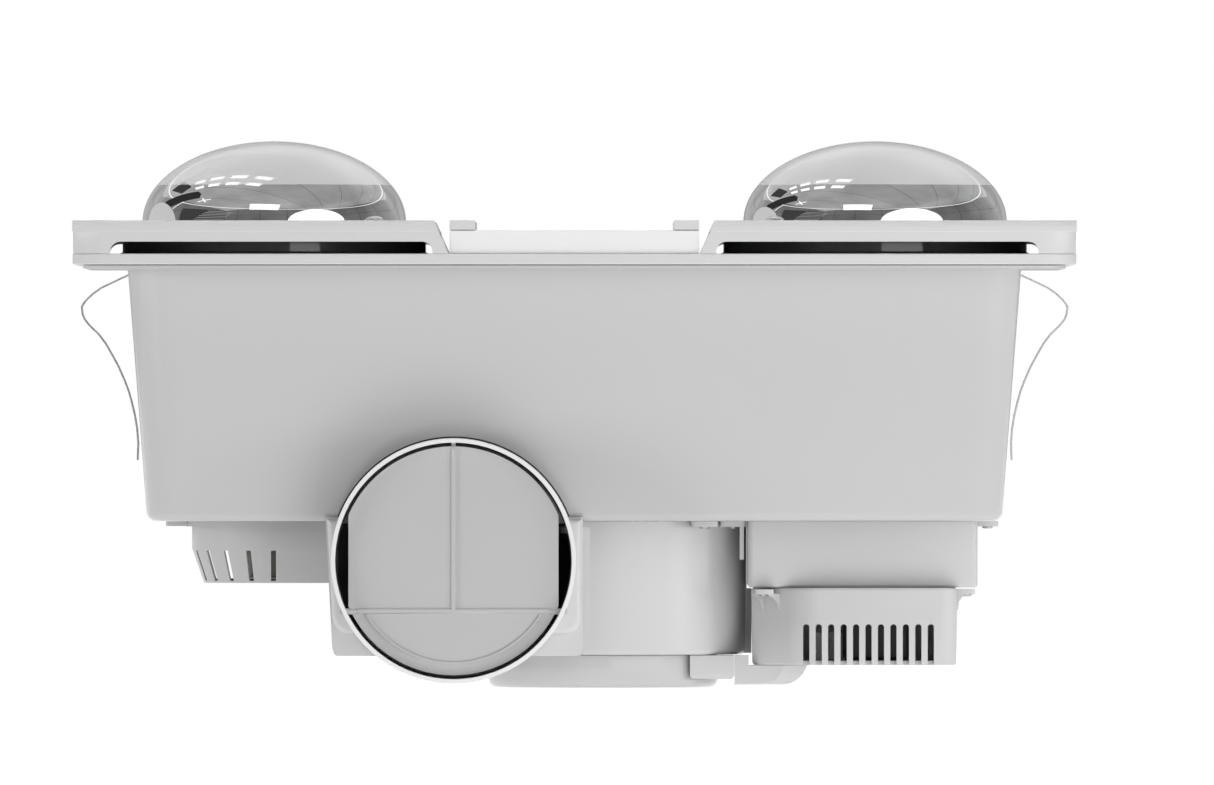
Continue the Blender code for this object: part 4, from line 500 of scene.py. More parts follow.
lampSet = {"radius": 0.0635, "dome": 0.0388, "taper": 0.1182, "neck": 0.017, "wall": 0.0012, "power": 1.3,
           "outside": (40, 56), "inside": (20, 24)}
lampCapSet = {"low": 0.0757, "high": 0.1057, "radius": 0.0132, "threads": 6, "ripple": 0.0006, "foot": 0.005,
              "contact": (0.005, 0.0062, 0.002), "collar": (0.0165, 0.0016)}
holderSet = {"profile": ((0, 0.0526), (0.0185, 0.0526), (0.0195, 0.0536), (0.0195, 0.0965), (0.0180, 0.0980),
                         (0.0140, 0.0980), (0.0140, 0.0600), (0.0050, 0.0600), (0.0050, 0.0754), (0, 0.0754))}
reflectorSet = {"mouth": 0.036, "flare": 0.024, "low": 0.0821, "deep": 0.068, "wall": 0.001, "steps": 24,
                "hole": (0.0245, 0.0831)}


def lampProfile(inset, taperSteps, domeSteps):
    # The bulb widens from its neck to the crest's level, and a flattened dome closes it
    points = []
    neckLow = levels["crest"] - lampSet["taper"]
    for step in range(taperSteps):
        share = step / taperSteps
        widened = math.sin(quarter * share) ** lampSet["power"]
        radius = lampSet["neck"] + (lampSet["radius"] - lampSet["neck"]) * widened
        points.append((radius - inset, neckLow + lampSet["taper"] * share))
    for step in range(domeSteps + 1):
        angle = quarter * step / domeSteps
        points.append(((lampSet["radius"] - inset) * math.cos(angle),
                       levels["crest"] + (lampSet["dome"] - inset) * math.sin(angle)))
    return points


def capProfile():
    # A contact, a short neck, and a shell whose rolled thread runs up to a collar
    low, high, radius, foot = (lampCapSet[key] for key in ("low", "high", "radius", "foot"))
    contact, neck, neckHigh = lampCapSet["contact"]
    collar, collarHigh = lampCapSet["collar"]
    steps = 4 * lampCapSet["threads"]
    rise = (high - foot - low - foot) / steps
    shell = [(0, low), (contact, low), (neck, low + neckHigh), (radius, low + foot)]
    for count in range(steps + 1):
        ripple = lampCapSet["ripple"] * (1 - math.cos(quarter * count)) / 2
        shell.append((radius - ripple, low + foot + rise * count))
    return shell + [(collar, high - collarHigh), (collar, high), (0, high)]


def dishProfile():
    inner, outer = [], []
    wall, (hole, holeHigh) = reflectorSet["wall"], reflectorSet["hole"]
    for step in range(reflectorSet["steps"] + 1):
        angle = quarter * step / reflectorSet["steps"]
        radius = reflectorSet["mouth"] + reflectorSet["flare"] * math.sin(angle)
        z = reflectorSet["low"] + reflectorSet["deep"] * (1 - math.cos(angle))
        outer.append((radius, z))
        inner.append((radius - wall, z + wall * math.cos(angle)))
    return [(hole, reflectorSet["low"])] + outer + inner[::-1] + [(hole, holeHigh)]


def makeLamps():
    glass = lampProfile(0, *lampSet["outside"]) + lampProfile(lampSet["wall"], *lampSet["inside"])[::-1]
    turned = (("heatLamp_", glass, 160, "lamp", "heat_lamp_"), ("lampCap_", capProfile(), 64, "cap", "lamp_cap_"),
              ("lampholder_", holderSet["profile"], 64, "holder", "lampholder_"),
              ("lampReflector_", dishProfile(), 96, "reflector", "lamp_reflector_"))
    for name, side in hands:
        for piece, profile, sides, look, node in turned:
            addPiece(piece + name, spinShape(profile, sides, (side * lampX, 0)), look, "chassis", [node + name])


housingSet = {"rim": (0.4282, 0.238), "taper": (0.0093, 0.009), "corner": 0.024, "edge": 0.004, "wall": 0.0015,
              "flange": (0.470, 0.280, 0.014), "fanHole": 0.0508, "lampHole": 0.024, "slotHalf": 0.0095,
              "slot": (0.1930, 0.2006)}


def housingBlock(wall, low, high):
    # A cube whose top is spread to the rim, with its upright corners and its back edge rounded
    rim, taper = housingSet["rim"], housingSet["taper"]
    shape = boxShape((-1, -1, low), (1, 1, high))
    for vert in shape.verts:
        share = (vert.co.z - levels["back"]) / (levels["flangeLow"] - levels["back"])
        for axis in (0, 1):
            vert.co[axis] *= rim[axis] / 2 - taper[axis] * (1 - share) - wall
    roundOff(shape, housingSet["corner"] - wall, lambda edge: runsAlong(edge, 2), 14)
    return roundOff(shape, housingSet["edge"] - wall, lambda edge: liesAt(edge, 2, low), 6)


def makeHousing():
    wall = housingSet["wall"]
    long, wide, corner = housingSet["flange"]
    flange = cornerBox((-long / 2, -wide / 2, levels["flangeLow"]), (long / 2, wide / 2, levels["flangeHigh"]),
                       corner, 12)
    inside = housingBlock(wall, levels["back"] + wall, levels["flangeHigh"] + past)
    low, high = levels["back"] - past, levels["back"] + wall + past
    holes = [rodShape(housingSet["fanHole"], (*scrollSet["fan"], low), (*scrollSet["fan"], high), 96)]
    slots = []
    for _, side in hands:
        holes.append(rodShape(housingSet["lampHole"], (side * lampX, 0, low), (side * lampX, 0, high), 64))
        # A slot in the wall lets the clip's arm through
        ends = sorted((side * (clipSet["pin"][0] - past), side * (housingSet["rim"][0] / 2 + past)))
        slots.append(boxShape((ends[0], -housingSet["slotHalf"], housingSet["slot"][0]),
                              (ends[1], housingSet["slotHalf"], housingSet["slot"][1])))
    addPiece("housing", housingBlock(0, levels["back"], levels["flangeHigh"]), "housing", "chassis", ["housing"],
             joins=[flange], cuts=[inside, gathered(holes), gathered(slots)], edge=0.0003)


# The sides differ and the short values keep faces apart, because the Booleans fail where faces lie on each other
cupSet = {"radius": 0.0396, "floor": 0.0339, "low": 0.0503, "knee": 0.0669, "reach": 0.0355, "wall": 0.0013,
          "base": 0.002, "lip": 0.003, "lipHigh": 0.0026, "ear": (0.0521, 0.009, 0.002), "short": 0.0003,
          "clear": 0.0002, "slot": (0.0024, 0.0146, 18, 5), "rearWide": 0.0054, "slotTop": 0.001, "slotDeep": 0.006,
          "slotCorner": 0.12, "bodySides": 128, "insideSides": 112, "lipSides": 96}


def cupBlock(inset, low, high, sides, rise=0.0):
    # A half-round tub: a cone and a drum halved through the lamp's axis, the flat face drawn on along +X
    radius, knee = cupSet["radius"] - inset, cupSet["knee"]
    slope = (cupSet["radius"] - cupSet["floor"]) / (knee - cupSet["low"])
    if low < knee:
        foot = radius - slope * (knee - low)
        shape = spinShape(((0, low), (foot, low), (radius, knee), (radius, high), (0, high)), sides,
                          (-lampX, 0))
    else:
        shape = spinShape(((0, low), (radius, low), (radius, high), (0, high)), sides, (-lampX, 0))
    face = sliced(shape, (-lampX, 0, 0), (1, 0, 0))
    moved = bmesh.ops.extrude_face_region(shape, geom=face)["geom"]
    bmesh.ops.delete(shape, geom=face, context="FACES_ONLY")
    bmesh.ops.translate(shape, vec=(cupSet["reach"] - inset - rise, 0, 0), verts=vertsOf(moved))
    bmesh.ops.recalc_face_normals(shape, faces=shape.faces)
    return shape


def makeLeftCover():
    top, lipLow, clear = levels["scrollHigh"], levels["scrollHigh"] - cupSet["lipHigh"], cupSet["clear"]
    wide, tall, turn, count = cupSet["slot"]
    slotHigh = cupSet["knee"] - cupSet["slotTop"]
    slots = []
    # The slots fan out round the lamp's axis, wider at the rear
    for step in range(-count, count + 1):
        if step:
            across = (wide if step > 0 else cupSet["rearWide"]) / 2
            slot = cornerBox((cupSet["floor"] - cupSet["slotDeep"], -across, slotHigh - tall),
                             (cupSet["radius"] + past, across, slotHigh), wide * cupSet["slotCorner"], 2, 0)
            slots.append(placed(slot, (-lampX, 0, 0), math.radians(180 + turn * step), "Z"))
    body = cupBlock(0, cupSet["low"], top - cupSet["short"], cupSet["bodySides"])
    lip = cupBlock(-cupSet["lip"], lipLow, top, cupSet["lipSides"], 2 * cupSet["lip"])
    inside = cupBlock(cupSet["wall"], cupSet["low"] + cupSet["base"], top + past, cupSet["insideSides"])
    reach, half, corner = cupSet["ear"]
    ear = cornerBox((-lampX - reach, -half, lipLow + clear),
                    (-lampX - cupSet["radius"] + corner, half, top - clear), corner, 4)
    # The cup's darker tone is painted shade on the shell's plastic
    addPiece("lampholderCoverLeft", body, "cup", "chassis", ["lampholder_cover_left"], joins=[lip, ear],
             cuts=[inside, gathered(slots)], edge=0.0004)


boxSet = {"low": (0.0832, -0.047, 0.0482), "high": (0.1937, 0.047, 0.0800), "wall": 0.002, "corner": 0.003,
          "edge": 0.0016, "ear": (0.0103, 0.008, 0.0026, 0.002), "pedestal": (0.0215, 0.0523)}


def makeRightCover():
    low, high, wall = boxSet["low"], boxSet["high"], boxSet["wall"]
    body = cornerBox(low, high, boxSet["corner"], 6)
    roundOff(body, boxSet["edge"], lambda edge: liesAt(edge, 2, low[2]), 5)
    inside = cornerBox((low[0] + wall, low[1] + wall, low[2] + wall), (high[0] - wall, high[1] - wall, high[2] + wall),
                       boxSet["corner"] - wall, 4)
    radius, crest = boxSet["pedestal"]
    pedestal = rodShape(radius, (lampX, 0, low[2] + wall / 2), (lampX, 0, crest), 64)
    reach, half, thick, corner = boxSet["ear"]
    ear = cornerBox((high[0] - wall / 2, -half, high[2] - thick), (high[0] + reach, half, high[2]), corner, 4)
    addPiece("lampholderCoverRight", body, "shell", "chassis", ["lampholder_cover_right"], joins=[ear],
             cuts=[inside], edge=0.0004)
    addPiece("holderPedestal", pedestal, "shell", "chassis", edge=0.0004)


electricsSet = {"low": (0.0856, -0.058, 0.011), "high": (0.1834, 0.018, 0.0481), "wall": 0.002, "lip": 0.0008,
                "chamfer": (0.0235, 0.026), "chamferLap": 0.001, "touching": 1e-4, "front": 0.008, "rear": 0.003,
                "bottom": 0.0012, "draft": 0.0006, "soft": 0.009, "rim": (0.0009, 0.002), "pierce": 0.004,
                "vent": (0.1113, 0.00598, 0.0030, 0.0196, 11), "ventDeep": 0.0048, "ventRound": 0.49,
                "leftEar": (0.0865, -0.056, 0.0957, -0.028), "rightEar": (-0.037, 0.1925, -0.023),
                "ear": (0.0024, 0.0015), "blades": (0.0075, 0.0190), "gussets": (-0.0345, -0.0270),
                "plate": 0.0012, "bush": (0.150, 0.0173, 0.034), "bushHole": 0.0058}
# Outlines of the thin plates under the ears: reach from the wall, and height from the ear's underside
bladeOutline = ((-0.001, 0.0003), (0.0078, 0.0003), (0.0072, -0.0006), (0.0046, -0.0016), (0.0028, -0.0030),
                (0.0016, -0.0048), (0.0010, -0.0074), (-0.001, -0.0078))
gussetOutline = ((-0.001, 0.0003), (0.0056, 0.0003), (0.0032, -0.0012), (0.0016, -0.0034), (0.0009, -0.0075),
                 (-0.001, -0.0080))
bushProfile = ((0.0032, -0.0038), (0.0066, -0.0038), (0.0073, -0.0031), (0.0073, -0.0020), (0.0055, -0.0020),
               (0.0055, 0.0020), (0.0073, 0.0020), (0.0073, 0.0031), (0.0066, 0.0038), (0.0032, 0.0038))


def electricsBlock(inset, low, high, edge=0.0):
    near, far = electricsSet["low"], electricsSet["high"]
    left, front, right, rear = near[0] + inset, near[1] + inset, far[0] - inset, far[1] - inset
    shape = boxShape((left, front, low), (right, rear, high))
    roundOff(shape, electricsSet["front"], lambda edge: runsAlong(edge, 2) and liesAt(edge, 0, right)
             and liesAt(edge, 1, front), 8)
    roundOff(shape, electricsSet["rear"], lambda edge: runsAlong(edge, 2) and liesAt(edge, 1, rear), 5)
    across, along = electricsSet["chamfer"]
    sliced(shape, (left + across, front, 0), (-along, -across, 0))
    lap, reach = electricsSet["chamferLap"], electricsSet["touching"]
    roundOff(shape, electricsSet["soft"] - inset, lambda edge: runsAlong(edge, 2) and liesAt(edge, 1, front, reach)
             and edge.verts[0].co.x < left + across + lap, 8)
    if edge:
        roundOff(shape, edge, lambda edge: liesAt(edge, 2, low), 4)
    # The walls lean out a little towards the top
    middle = ((near[0] + far[0]) / 2, (near[1] + far[1]) / 2)
    for vert in shape.verts:
        share = (vert.co.z - near[2]) / (far[2] - near[2])
        for axis in (0, 1):
            half = (far[axis] - near[axis]) / 2
            vert.co[axis] += electricsSet["draft"] * share * (vert.co[axis] - middle[axis]) / half
    return shape


def makeElectrics():
    near, far, wall = electricsSet["low"], electricsSet["high"], electricsSet["wall"]
    step = far[2] - electricsSet["lip"]
    body = electricsBlock(0, near[2], step, electricsSet["bottom"])
    rimInset, rimDeep = electricsSet["rim"]
    rim = electricsBlock(rimInset, step - rimDeep, far[2])
    inside = electricsBlock(wall, near[2] + wall, far[2] + past)
    first, spacing, wide, tall, count = electricsSet["vent"]
    pierce, ventTop = electricsSet["pierce"], near[2] + tall
    vents = []
    for number in range(count):
        middle = first + spacing * number
        vent = boxShape((middle - wide / 2, near[1] - pierce, near[2] - past),
                        (middle + wide / 2, near[1] + electricsSet["ventDeep"], ventTop))
        vents.append(roundOff(vent, wide * electricsSet["ventRound"],
                              lambda edge: runsAlong(edge, 1) and liesAt(edge, 2, ventTop), 6))
    thick, corner = electricsSet["ear"]
    earLow = step - thick
    start, front, end, rear = electricsSet["leftEar"]
    ears = [cornerBox((start, front, earLow), (end, rear, step), corner, 3)]
    front, end, rear = electricsSet["rightEar"]
    ears.append(cornerBox((far[0] - wall / 2, front, earLow), (end, rear, step), corner, 3))
    # Two thin blades stand square to the corner's slope and carry the left ear
    plates, plate = [], electricsSet["plate"]
    across, along = electricsSet["chamfer"]
    slope = Vector((across, -along, 0)).normalized()
    for way in electricsSet["blades"]:
        blade = plateShape([(reach, earLow + rise) for reach, rise in bladeOutline], 0, plate, 1)
        foot = Vector((near[0], near[1] + along, 0)) + slope * way
        plates.append(placed(blade, foot, math.atan2(-across, -along), "Z"))
    for start in electricsSet["gussets"]:
        outline = [(far[0] + reach, earLow + rise) for reach, rise in gussetOutline]
        plates.append(plateShape(outline, start, start + plate, 1))
    bushX, bushY, bushZ = electricsSet["bush"]
    bushHole = rodShape(electricsSet["bushHole"], (bushX, far[1] - pierce, bushZ), (bushX, far[1] + pierce, bushZ))
    addPiece("electricsBox", body, "shell", "chassis", ["electrics_box"], joins=[rim] + ears + plates,
             cuts=[inside, gathered(vents), bushHole], edge=0.0003)
    bush = placed(spinShape(bushProfile, 64), (bushX, bushY, bushZ), quarter, "X")
    addPiece("cableBush", bush, "rubberAndShade", "chassis", ["cable_bush"])


scrollSet = {"fan": (0.0137, 0.005), "start": 0.066, "growth": 0.046, "power": 2.77, "from": -105,
             "to": 180, "steps": 120, "mouth": (-0.1158, 0.0045, -0.1097), "wall": 0.002, "edge": 0.004,
             "hole": 0.042, "skin": 0.0003, "rib": (0.0029, 0.0025, 0.0027),
             "tabs": ((0.0559, -0.057), (0.0699, -0.040)), "tab": (0.0129, 0.018, 0.0026, 0.002),
             "hook": ((0.0794, -0.040, 0.0184), (0.0814, -0.034, 0.0013)),
             "seams": ((0.0852, 0.0012, 0.0164, 0.0476), (0.0829, 0.0011, 0.0470, 0.0795)), "seamStart": 0.0795}
ringSet = {"foot": (0.0821, 0.0015, 0.0109), "bend": (0.051, 0.007, 0.0055), "throat": (0.044, 0.0455),
           "flange": 0.058, "steps": 12}


def scrollOutline(inset, mouthY):
    # The spiral grows from the tongue, at the mouth's right wall, round to the left wall; then comes the open mouth
    fan, points = scrollSet["fan"], []
    left, right, _ = scrollSet["mouth"]
    tongue = -math.degrees(math.acos((right - inset - fan[0]) / (scrollSet["start"] - inset)))
    for step in range(scrollSet["steps"] + 1):
        angle = tongue + (scrollSet["to"] - tongue) * step / scrollSet["steps"]
        share = (angle - scrollSet["from"]) / (scrollSet["to"] - scrollSet["from"])
        radius = scrollSet["start"] + scrollSet["growth"] * share ** scrollSet["power"] - inset
        turn = math.radians(angle)
        points.append((fan[0] + radius * math.cos(turn), fan[1] + radius * math.sin(turn)))
    return points + [(left + inset, mouthY), (right - inset, mouthY)]


def makeScroll():
    low, high, wall = levels["scrollLow"], levels["scrollHigh"], scrollSet["wall"]
    mouthY, fan = scrollSet["mouth"][2], scrollSet["fan"]
    body = plateShape(scrollOutline(scrollSet["skin"], mouthY), low, high)
    roundOff(body, scrollSet["edge"], lambda edge: liesAt(edge, 2, low) and not liesAt(edge, 1, mouthY), 6)
    inside = plateShape(scrollOutline(wall, mouthY - past), low + wall, high + past)
    hole = rodShape(scrollSet["hole"], (*fan, low - past), (*fan, low + wall + past), 96)
    right, (out, deep, trim) = scrollSet["mouth"][1], scrollSet["rib"]
    rib = boxShape((right - wall, mouthY, low + trim), (right + out, mouthY + deep, high - trim))
    long, wide, thick, corner = scrollSet["tab"]
    tabs = [cornerBox((x, y, high - thick), (x + long, y + wide, high), corner, 4) for x, y in scrollSet["tabs"]]
    hook = boxShape(*((x, y, high - drop) for x, y, drop in scrollSet["hook"]))
    # Two upright ribs fill the gap beside the boxes
    seams = [boxShape((scrollSet["seamStart"], fan[1] - half, foot), (end, fan[1] + half, crest))
             for end, half, foot, crest in scrollSet["seams"]]
    addPiece("scrollHousing", body, "shell", "chassis", ["scroll_housing"], joins=[rib, hook] + seams + tabs,
             cuts=[inside, hole], edge=0.0004)


def makeInletRing():
    # A bell mouth: a quarter bend between the throat and the flange under the housing
    foot, wall, deep = ringSet["foot"]
    middle, outerBend, innerBend = ringSet["bend"]
    top, flange = foot + wall, ringSet["flange"]
    low, (inside, outside) = top - deep, ringSet["throat"]
    inner, outer = [], []
    for step in range(ringSet["steps"] + 1):
        angle = math.radians(180 - 90 * step / ringSet["steps"])
        for points, bend in ((inner, outerBend), (outer, innerBend)):
            points.append((middle + bend * math.cos(angle), top - outerBend + bend * math.sin(angle)))
    ring = [(inside, low)] + inner + [(flange, top), (flange, top - wall)] + outer[::-1] + [(outside, low)]
    addPiece("inletRing", spinShape(ring, 112, scrollSet["fan"]), "reflector", "chassis", ["inlet_ring"])


capSet = {"radius": 0.05515, "high": 0.0155, "edge": 0.004, "wall": 0.0015, "back": 0.016, "draft": (0.0022, 0.0002),
          "rings": ((0.0375, 0.0317, 0.0061), (0.0103, 0.0083, 0.0058)), "steps": 8}


def makeMotorCap():
    radius, high, edge, wall = capSet["radius"], capSet["high"], capSet["edge"], capSet["wall"]
    drop, draft = capSet["draft"]
    profile = [(0, 0), (radius - capSet["back"], 0)]
    for step in range(capSet["steps"] + 1):
        angle = quarter * step / capSet["steps"]
        profile.append((radius - edge * (1 - math.sin(angle)), edge * (1 - math.cos(angle))))
    profile += [(radius, high - drop), (radius - draft, high), (radius - wall, high), (radius - wall, edge),
                (radius - wall - edge / 2, wall)]
    # The stator's seat, and the boss round the lower bearing
    for outer, inner, crest in capSet["rings"]:
        profile += [(outer, wall), (outer, crest), (inner, crest), (inner, wall)]
    addPiece("motorCap", spinShape(profile + [(0, wall)], 144, scrollSet["fan"]), "housing", "chassis", ["motor_cap"])


leadSet = {"blockLow": (0.0554, -0.036, 0.0041), "blockHigh": (0.0767, -0.008, 0.0155), "soft": 0.002,
           "clear": 0.0006, "elbowLow": (0.0770, -0.036, 0.0014), "elbowHigh": (0.1122, -0.008, 0.0155),
           "curve": 0.0125, "under": 0.0107, "near": 0.0837, "band": 0.010, "drawn": (0.0115, 0.0012)}


def makeLeads():
    low, high, fan = leadSet["blockLow"], leadSet["blockHigh"], scrollSet["fan"]
    block = boxShape(low, high)
    roundOff(block, leadSet["soft"], lambda edge: liesAt(edge, 2, low[2]), 5)
    clear = rodShape(capSet["radius"] + leadSet["clear"], (*fan, -past), (*fan, high[2] + past), 144)
    addPiece("leadBlock", block, "shell", "chassis", ["motor_lead_block"], cuts=[clear], edge=0.0003)
    low, high = leadSet["elbowLow"], leadSet["elbowHigh"]
    elbow = boxShape(low, high)
    roundOff(elbow, leadSet["curve"], lambda edge: runsAlong(edge, 1) and liesAt(edge, 0, high[0])
             and liesAt(edge, 2, low[2]), 12)
    near = leadSet["near"]
    above = boxShape((near, low[1] - past, leadSet["under"]), [reach + past for reach in high])
    # The front face is drawn in along the bend, which leaves a sloping band round it
    splitAt(elbow, (0, low[1] + leadSet["band"], 0), (0, 1, 0), False)
    inward, upward = leadSet["drawn"]
    for vert in elbow.verts:
        if abs(vert.co.y - low[1]) < touching:
            share = max(0.0, (vert.co.x - near) / (high[0] - near))
            vert.co.x -= inward * share
            vert.co.z += upward * share
    addPiece("leadElbow", elbow, "shell", "chassis", ["lead_elbow"], cuts=[above], edge=0.0008, segments=3)


adaptorSet = {"low": (-0.1192, 0.0158), "high": (0.0041, 0.0822), "corner": 0.0044, "draft": 0.0034,
              "back": -0.1100, "face": -0.1131, "raised": (0.0009, 0.0104, 0.0085, -0.1172, 0.0026),
              "front": -0.1447, "centre": (-0.0578, 0.0615), "radius": 0.0586, "wall": 0.0021,
              "pivot": (-0.1385, 0.0373),
              "strip": (0.0001, 0.0008, -0.1216, -0.1280), "shadeSheet": (0.0003, 0.0007, -0.1356, -0.1180),
              "rim": -0.1425, "leanShare": 0.8, "lap": 0.001, "pin": 0.0019, "stripLow": 0.0004,
              "stop": (0.001, -0.1375, -0.1345, 0.006, 0.001), "rootLap": 0.0003, "mouthGap": 0.0001,
              "throatLess": 0.0005}


def adaptorBlock(low, high, corner, back, front, draft=0.0):
    # A rounded slab that stands in X and Z, its left side drawn in towards the bottom
    slab = boxShape((low[0], front, low[1]), (high[0], back, high[1]))
    roundOff(slab, corner, lambda edge: runsAlong(edge, 1) and liesAt(edge, 2, low[1]), 10)
    for vert in slab.verts:
        share = (high[1] - vert.co.z) / (high[1] - low[1])
        vert.co.x += draft * share * (high[0] - vert.co.x) / (high[0] - low[0])
    return slab


def spigotRing(inner, outer, back, front):
    ring = spinShape(((inner, -front), (outer, -front), (outer, -back), (inner, -back)), 144)
    x, z = adaptorSet["centre"]
    return placed(ring, (x, 0, z), quarter, "X")


def makeAdaptor():
    at = adaptorSet
    low, high, x, z = at["low"], at["high"], *at["centre"]
    flange = adaptorBlock(low, high, at["corner"], at["back"], at["face"], at["draft"])
    inset, foot, corner, front, soft = at["raised"]
    lean, lap = at["draft"] * at["leanShare"], at["lap"]
    raised = adaptorBlock((low[0] + inset, low[1] + foot), (high[0] - inset, high[1] - inset), corner,
                          at["back"] - lap, front, lean)
    skin = front + at["wall"]  # the back of the face that carries the spigot
    roundOff(raised, soft, lambda edge: liesAt(edge, 1, front), 6)
    spigot = rodShape(at["radius"], (x, skin - at["rootLap"], z), (x, at["rim"], z), 144)
    bore = at["radius"] - at["wall"]
    hollow = rodShape(bore, (x, front - at["mouthGap"], z), (x, at["front"] - past, z), 144)
    # The duct opens into the spigot where the raised body stands behind it, and a disc closes the rest
    near = (low[0] + inset + at["wall"], low[1] + foot + at["wall"])
    far = (high[0] - inset - at["wall"], high[1] - inset - at["wall"])
    mouth = adaptorBlock(near, far, corner - at["wall"], at["back"] + past, skin, lean)
    throat = rodShape(bore - at["throatLess"], (x, skin + lap, z), (x, front - lap, z), 144)
    sliced(throat, (0, 0, near[1]), (0, 0, -1))
    sliced(throat, (0, 0, far[1]), (0, 0, 1))
    pivotY, pivotZ = at["pivot"]
    reach = bore + at["wall"] / 2
    pins = rodShape(at["pin"], (x - reach, pivotY, pivotZ), (x + reach, pivotY, pivotZ), 32)
    half, near, far, hang, root = at["stop"]
    stop = boxShape((x - half, near, z + bore - hang), (x + half, far, z + bore + root))
    addPiece("ductAdaptor", flange, "adaptor", "chassis", ["duct_adaptor"], joins=[raised, spigot],
             cuts=[mouth, hollow, throat, pins], edge=0.0004)
    addPiece("flapStop", stop, "adaptor", "chassis", edge=0.0002)
    addPiece("spigotRim", spigotRing(bore, at["radius"], at["rim"], at["front"]), "rim", "chassis", edge=0.0003)
    # A thin dark strip over the upper half of the spigot is a painted shadow, for the shaded gap by the housing wall;
    # a dark sheet inside the bore is painted shade, seen past the flap
    inner, outer, back, front = at["strip"]
    strip = spigotRing(at["radius"] + inner, at["radius"] + outer, back, front)
    sliced(strip, (0, 0, high[1] + at["stripLow"]), (0, 0, -1))
    addPiece("spigotShadeStrip", strip, "rubberAndShade", "chassis")
    # Painted shade: a dark sheet inside the bore, behind the flap, so that the gaps round the flap read dark
    inner, outer, front, back = at["shadeSheet"]
    addPiece("spigotShadeSheet", spigotRing(bore - outer, bore - inner, back, front), "rubberAndShade", "chassis")


flapSet = {"front": -0.1392, "back": -0.1378, "radius": 0.0547, "half": 0.0502, "rib": (0.002, 0.0009),
           "ribShort": 0.0012, "arc": 0.0494, "arcWide": 0.0009, "pin": (0.0015, 0.046, 0.0543)}


def makeFlap():
    at, (x, z) = flapSet, adaptorSet["centre"]
    pivotY, pivotZ = adaptorSet["pivot"]
    plate = rodShape(at["radius"], (x, at["front"], z), (x, at["back"], z), 144)
    sliced(plate, (x + at["half"], 0, 0), (1, 0, 0))
    sliced(plate, (x - at["half"], 0, 0), (-1, 0, 0))
    wide, tall = at["rib"]
    front = at["front"] - tall
    middle = (at["front"] + at["back"]) / 2
    thin, root, reach = at["pin"]
    ribs = [boxShape((x - wide / 2, front, pivotZ), (x + wide / 2, middle, z + at["radius"] - at["ribShort"])),
            boxShape((x - root, front, pivotZ - wide / 2), (x + root, middle, pivotZ + wide / 2))]
    for side in (-1, 1):
        ribs.append(rodShape(thin, (x + side * root, pivotY, pivotZ), (x + side * reach, pivotY, pivotZ), 32))
    # The lower arc is a hoop with its upper part cut away
    outer, inner, deep = at["arc"], at["arc"] - at["arcWide"], middle - front
    hoop = spinShape(((inner, 0), (outer, 0), (outer, deep), (inner, deep)), 144)
    placed(hoop, (x, middle, z), quarter, "X")
    splitAt(hoop, (0, 0, pivotZ - wide / 2), (0, 0, 1), True)
    bmesh.ops.holes_fill(hoop, edges=[edge for edge in hoop.edges if edge.is_boundary])
    bmesh.ops.recalc_face_normals(hoop, faces=hoop.faces)
    addPiece("damperFlap", plate, "flap", "damper", ["damper_flap"], joins=ribs + [hoop], edge=0.0002)


clipSet = {"width": 0.016, "thick": 0.0008, "pin": (0.2095, 0.1972), "reach": (0.0287, 0.0156),
           "tail": (0.0276, 0.0722), "lift": 0.0017, "bend": 0.004, "eye": (0.0013, 0.0021),
           "armShares": ((-0.03, 0.0), (0.16, 0.05), (0.40, -0.13), (0.66, -0.33), (0.80, -0.50), (0.90, -0.66),
                         (0.96, -0.79), (0.992, -0.90)),
           "tailShares": ((0.010, 0.03), (0.05, 0.065), (0.14, 0.107), (0.30, 0.165), (0.42, 0.225), (0.535, 0.30),
                          (0.65, 0.38), (0.755, 0.47), (0.83, 0.545), (0.885, 0.62), (0.935, 0.70), (0.975, 0.79),
                          (0.995, 0.89), (0.985, 1.0))}


def makeClips():
    wide, thick = clipSet["width"] / 2, clipSet["thick"]
    pinX, pinZ = clipSet["pin"]
    knee = (pinX + clipSet["reach"][0], pinZ - clipSet["reach"][1])
    inner, outer = clipSet["eye"]
    for name, side in hands:
        path = []
        for along, rise in clipSet["armShares"]:
            lift = clipSet["lift"] * (1 - along)
            path.append((pinX + clipSet["reach"][0] * along, pinZ + clipSet["reach"][1] * rise + lift))
        path.append((knee[0] - thick / 2, knee[1]))
        for along, drop in clipSet["tailShares"]:
            path.append((knee[0] - thick / 2 - (clipSet["tail"][0] - thick / 2) * along,
                         knee[1] - clipSet["tail"][1] * drop))
        shape = bmesh.new()
        verts = [shape.verts.new((side * x, -wide, z)) for x, z in path]
        for pair in zip(verts, verts[1:]):
            shape.edges.new(pair)
        for _ in range(2):
            bmesh.ops.subdivide_edges(shape, edges=shape.edges[:], cuts=1, smooth=1.0)
        moved = bmesh.ops.extrude_edge_only(shape, edges=shape.edges[:])["geom"]
        bmesh.ops.translate(shape, vec=(0, 2 * wide, 0), verts=vertsOf(moved))
        bmesh.ops.recalc_face_normals(shape, faces=shape.faces)
        bmesh.ops.solidify(shape, geom=shape.faces[:], thickness=thick)
        piece = addPiece("springClip_" + name, shape, "spring", None, ["clip_arm_" + name, "clip_tail_" + name])
        # The knee's span, a few millimetres above and below it, is worked out here, but nothing bends the spring
        top, bottom = knee[1] + clipSet["bend"], knee[1] - clipSet["bend"]
        side * knee[0]
        side * knee[0]
        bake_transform(piece)
        eye = spinShape(((inner, -wide), (outer, -wide), (outer, wide), (inner, wide)), 32)
        placed(eye, (side * pinX, 0, pinZ), quarter, "X")
        addPiece("clipEye_" + name, eye, "spring", "clip_%s_arm" % name)


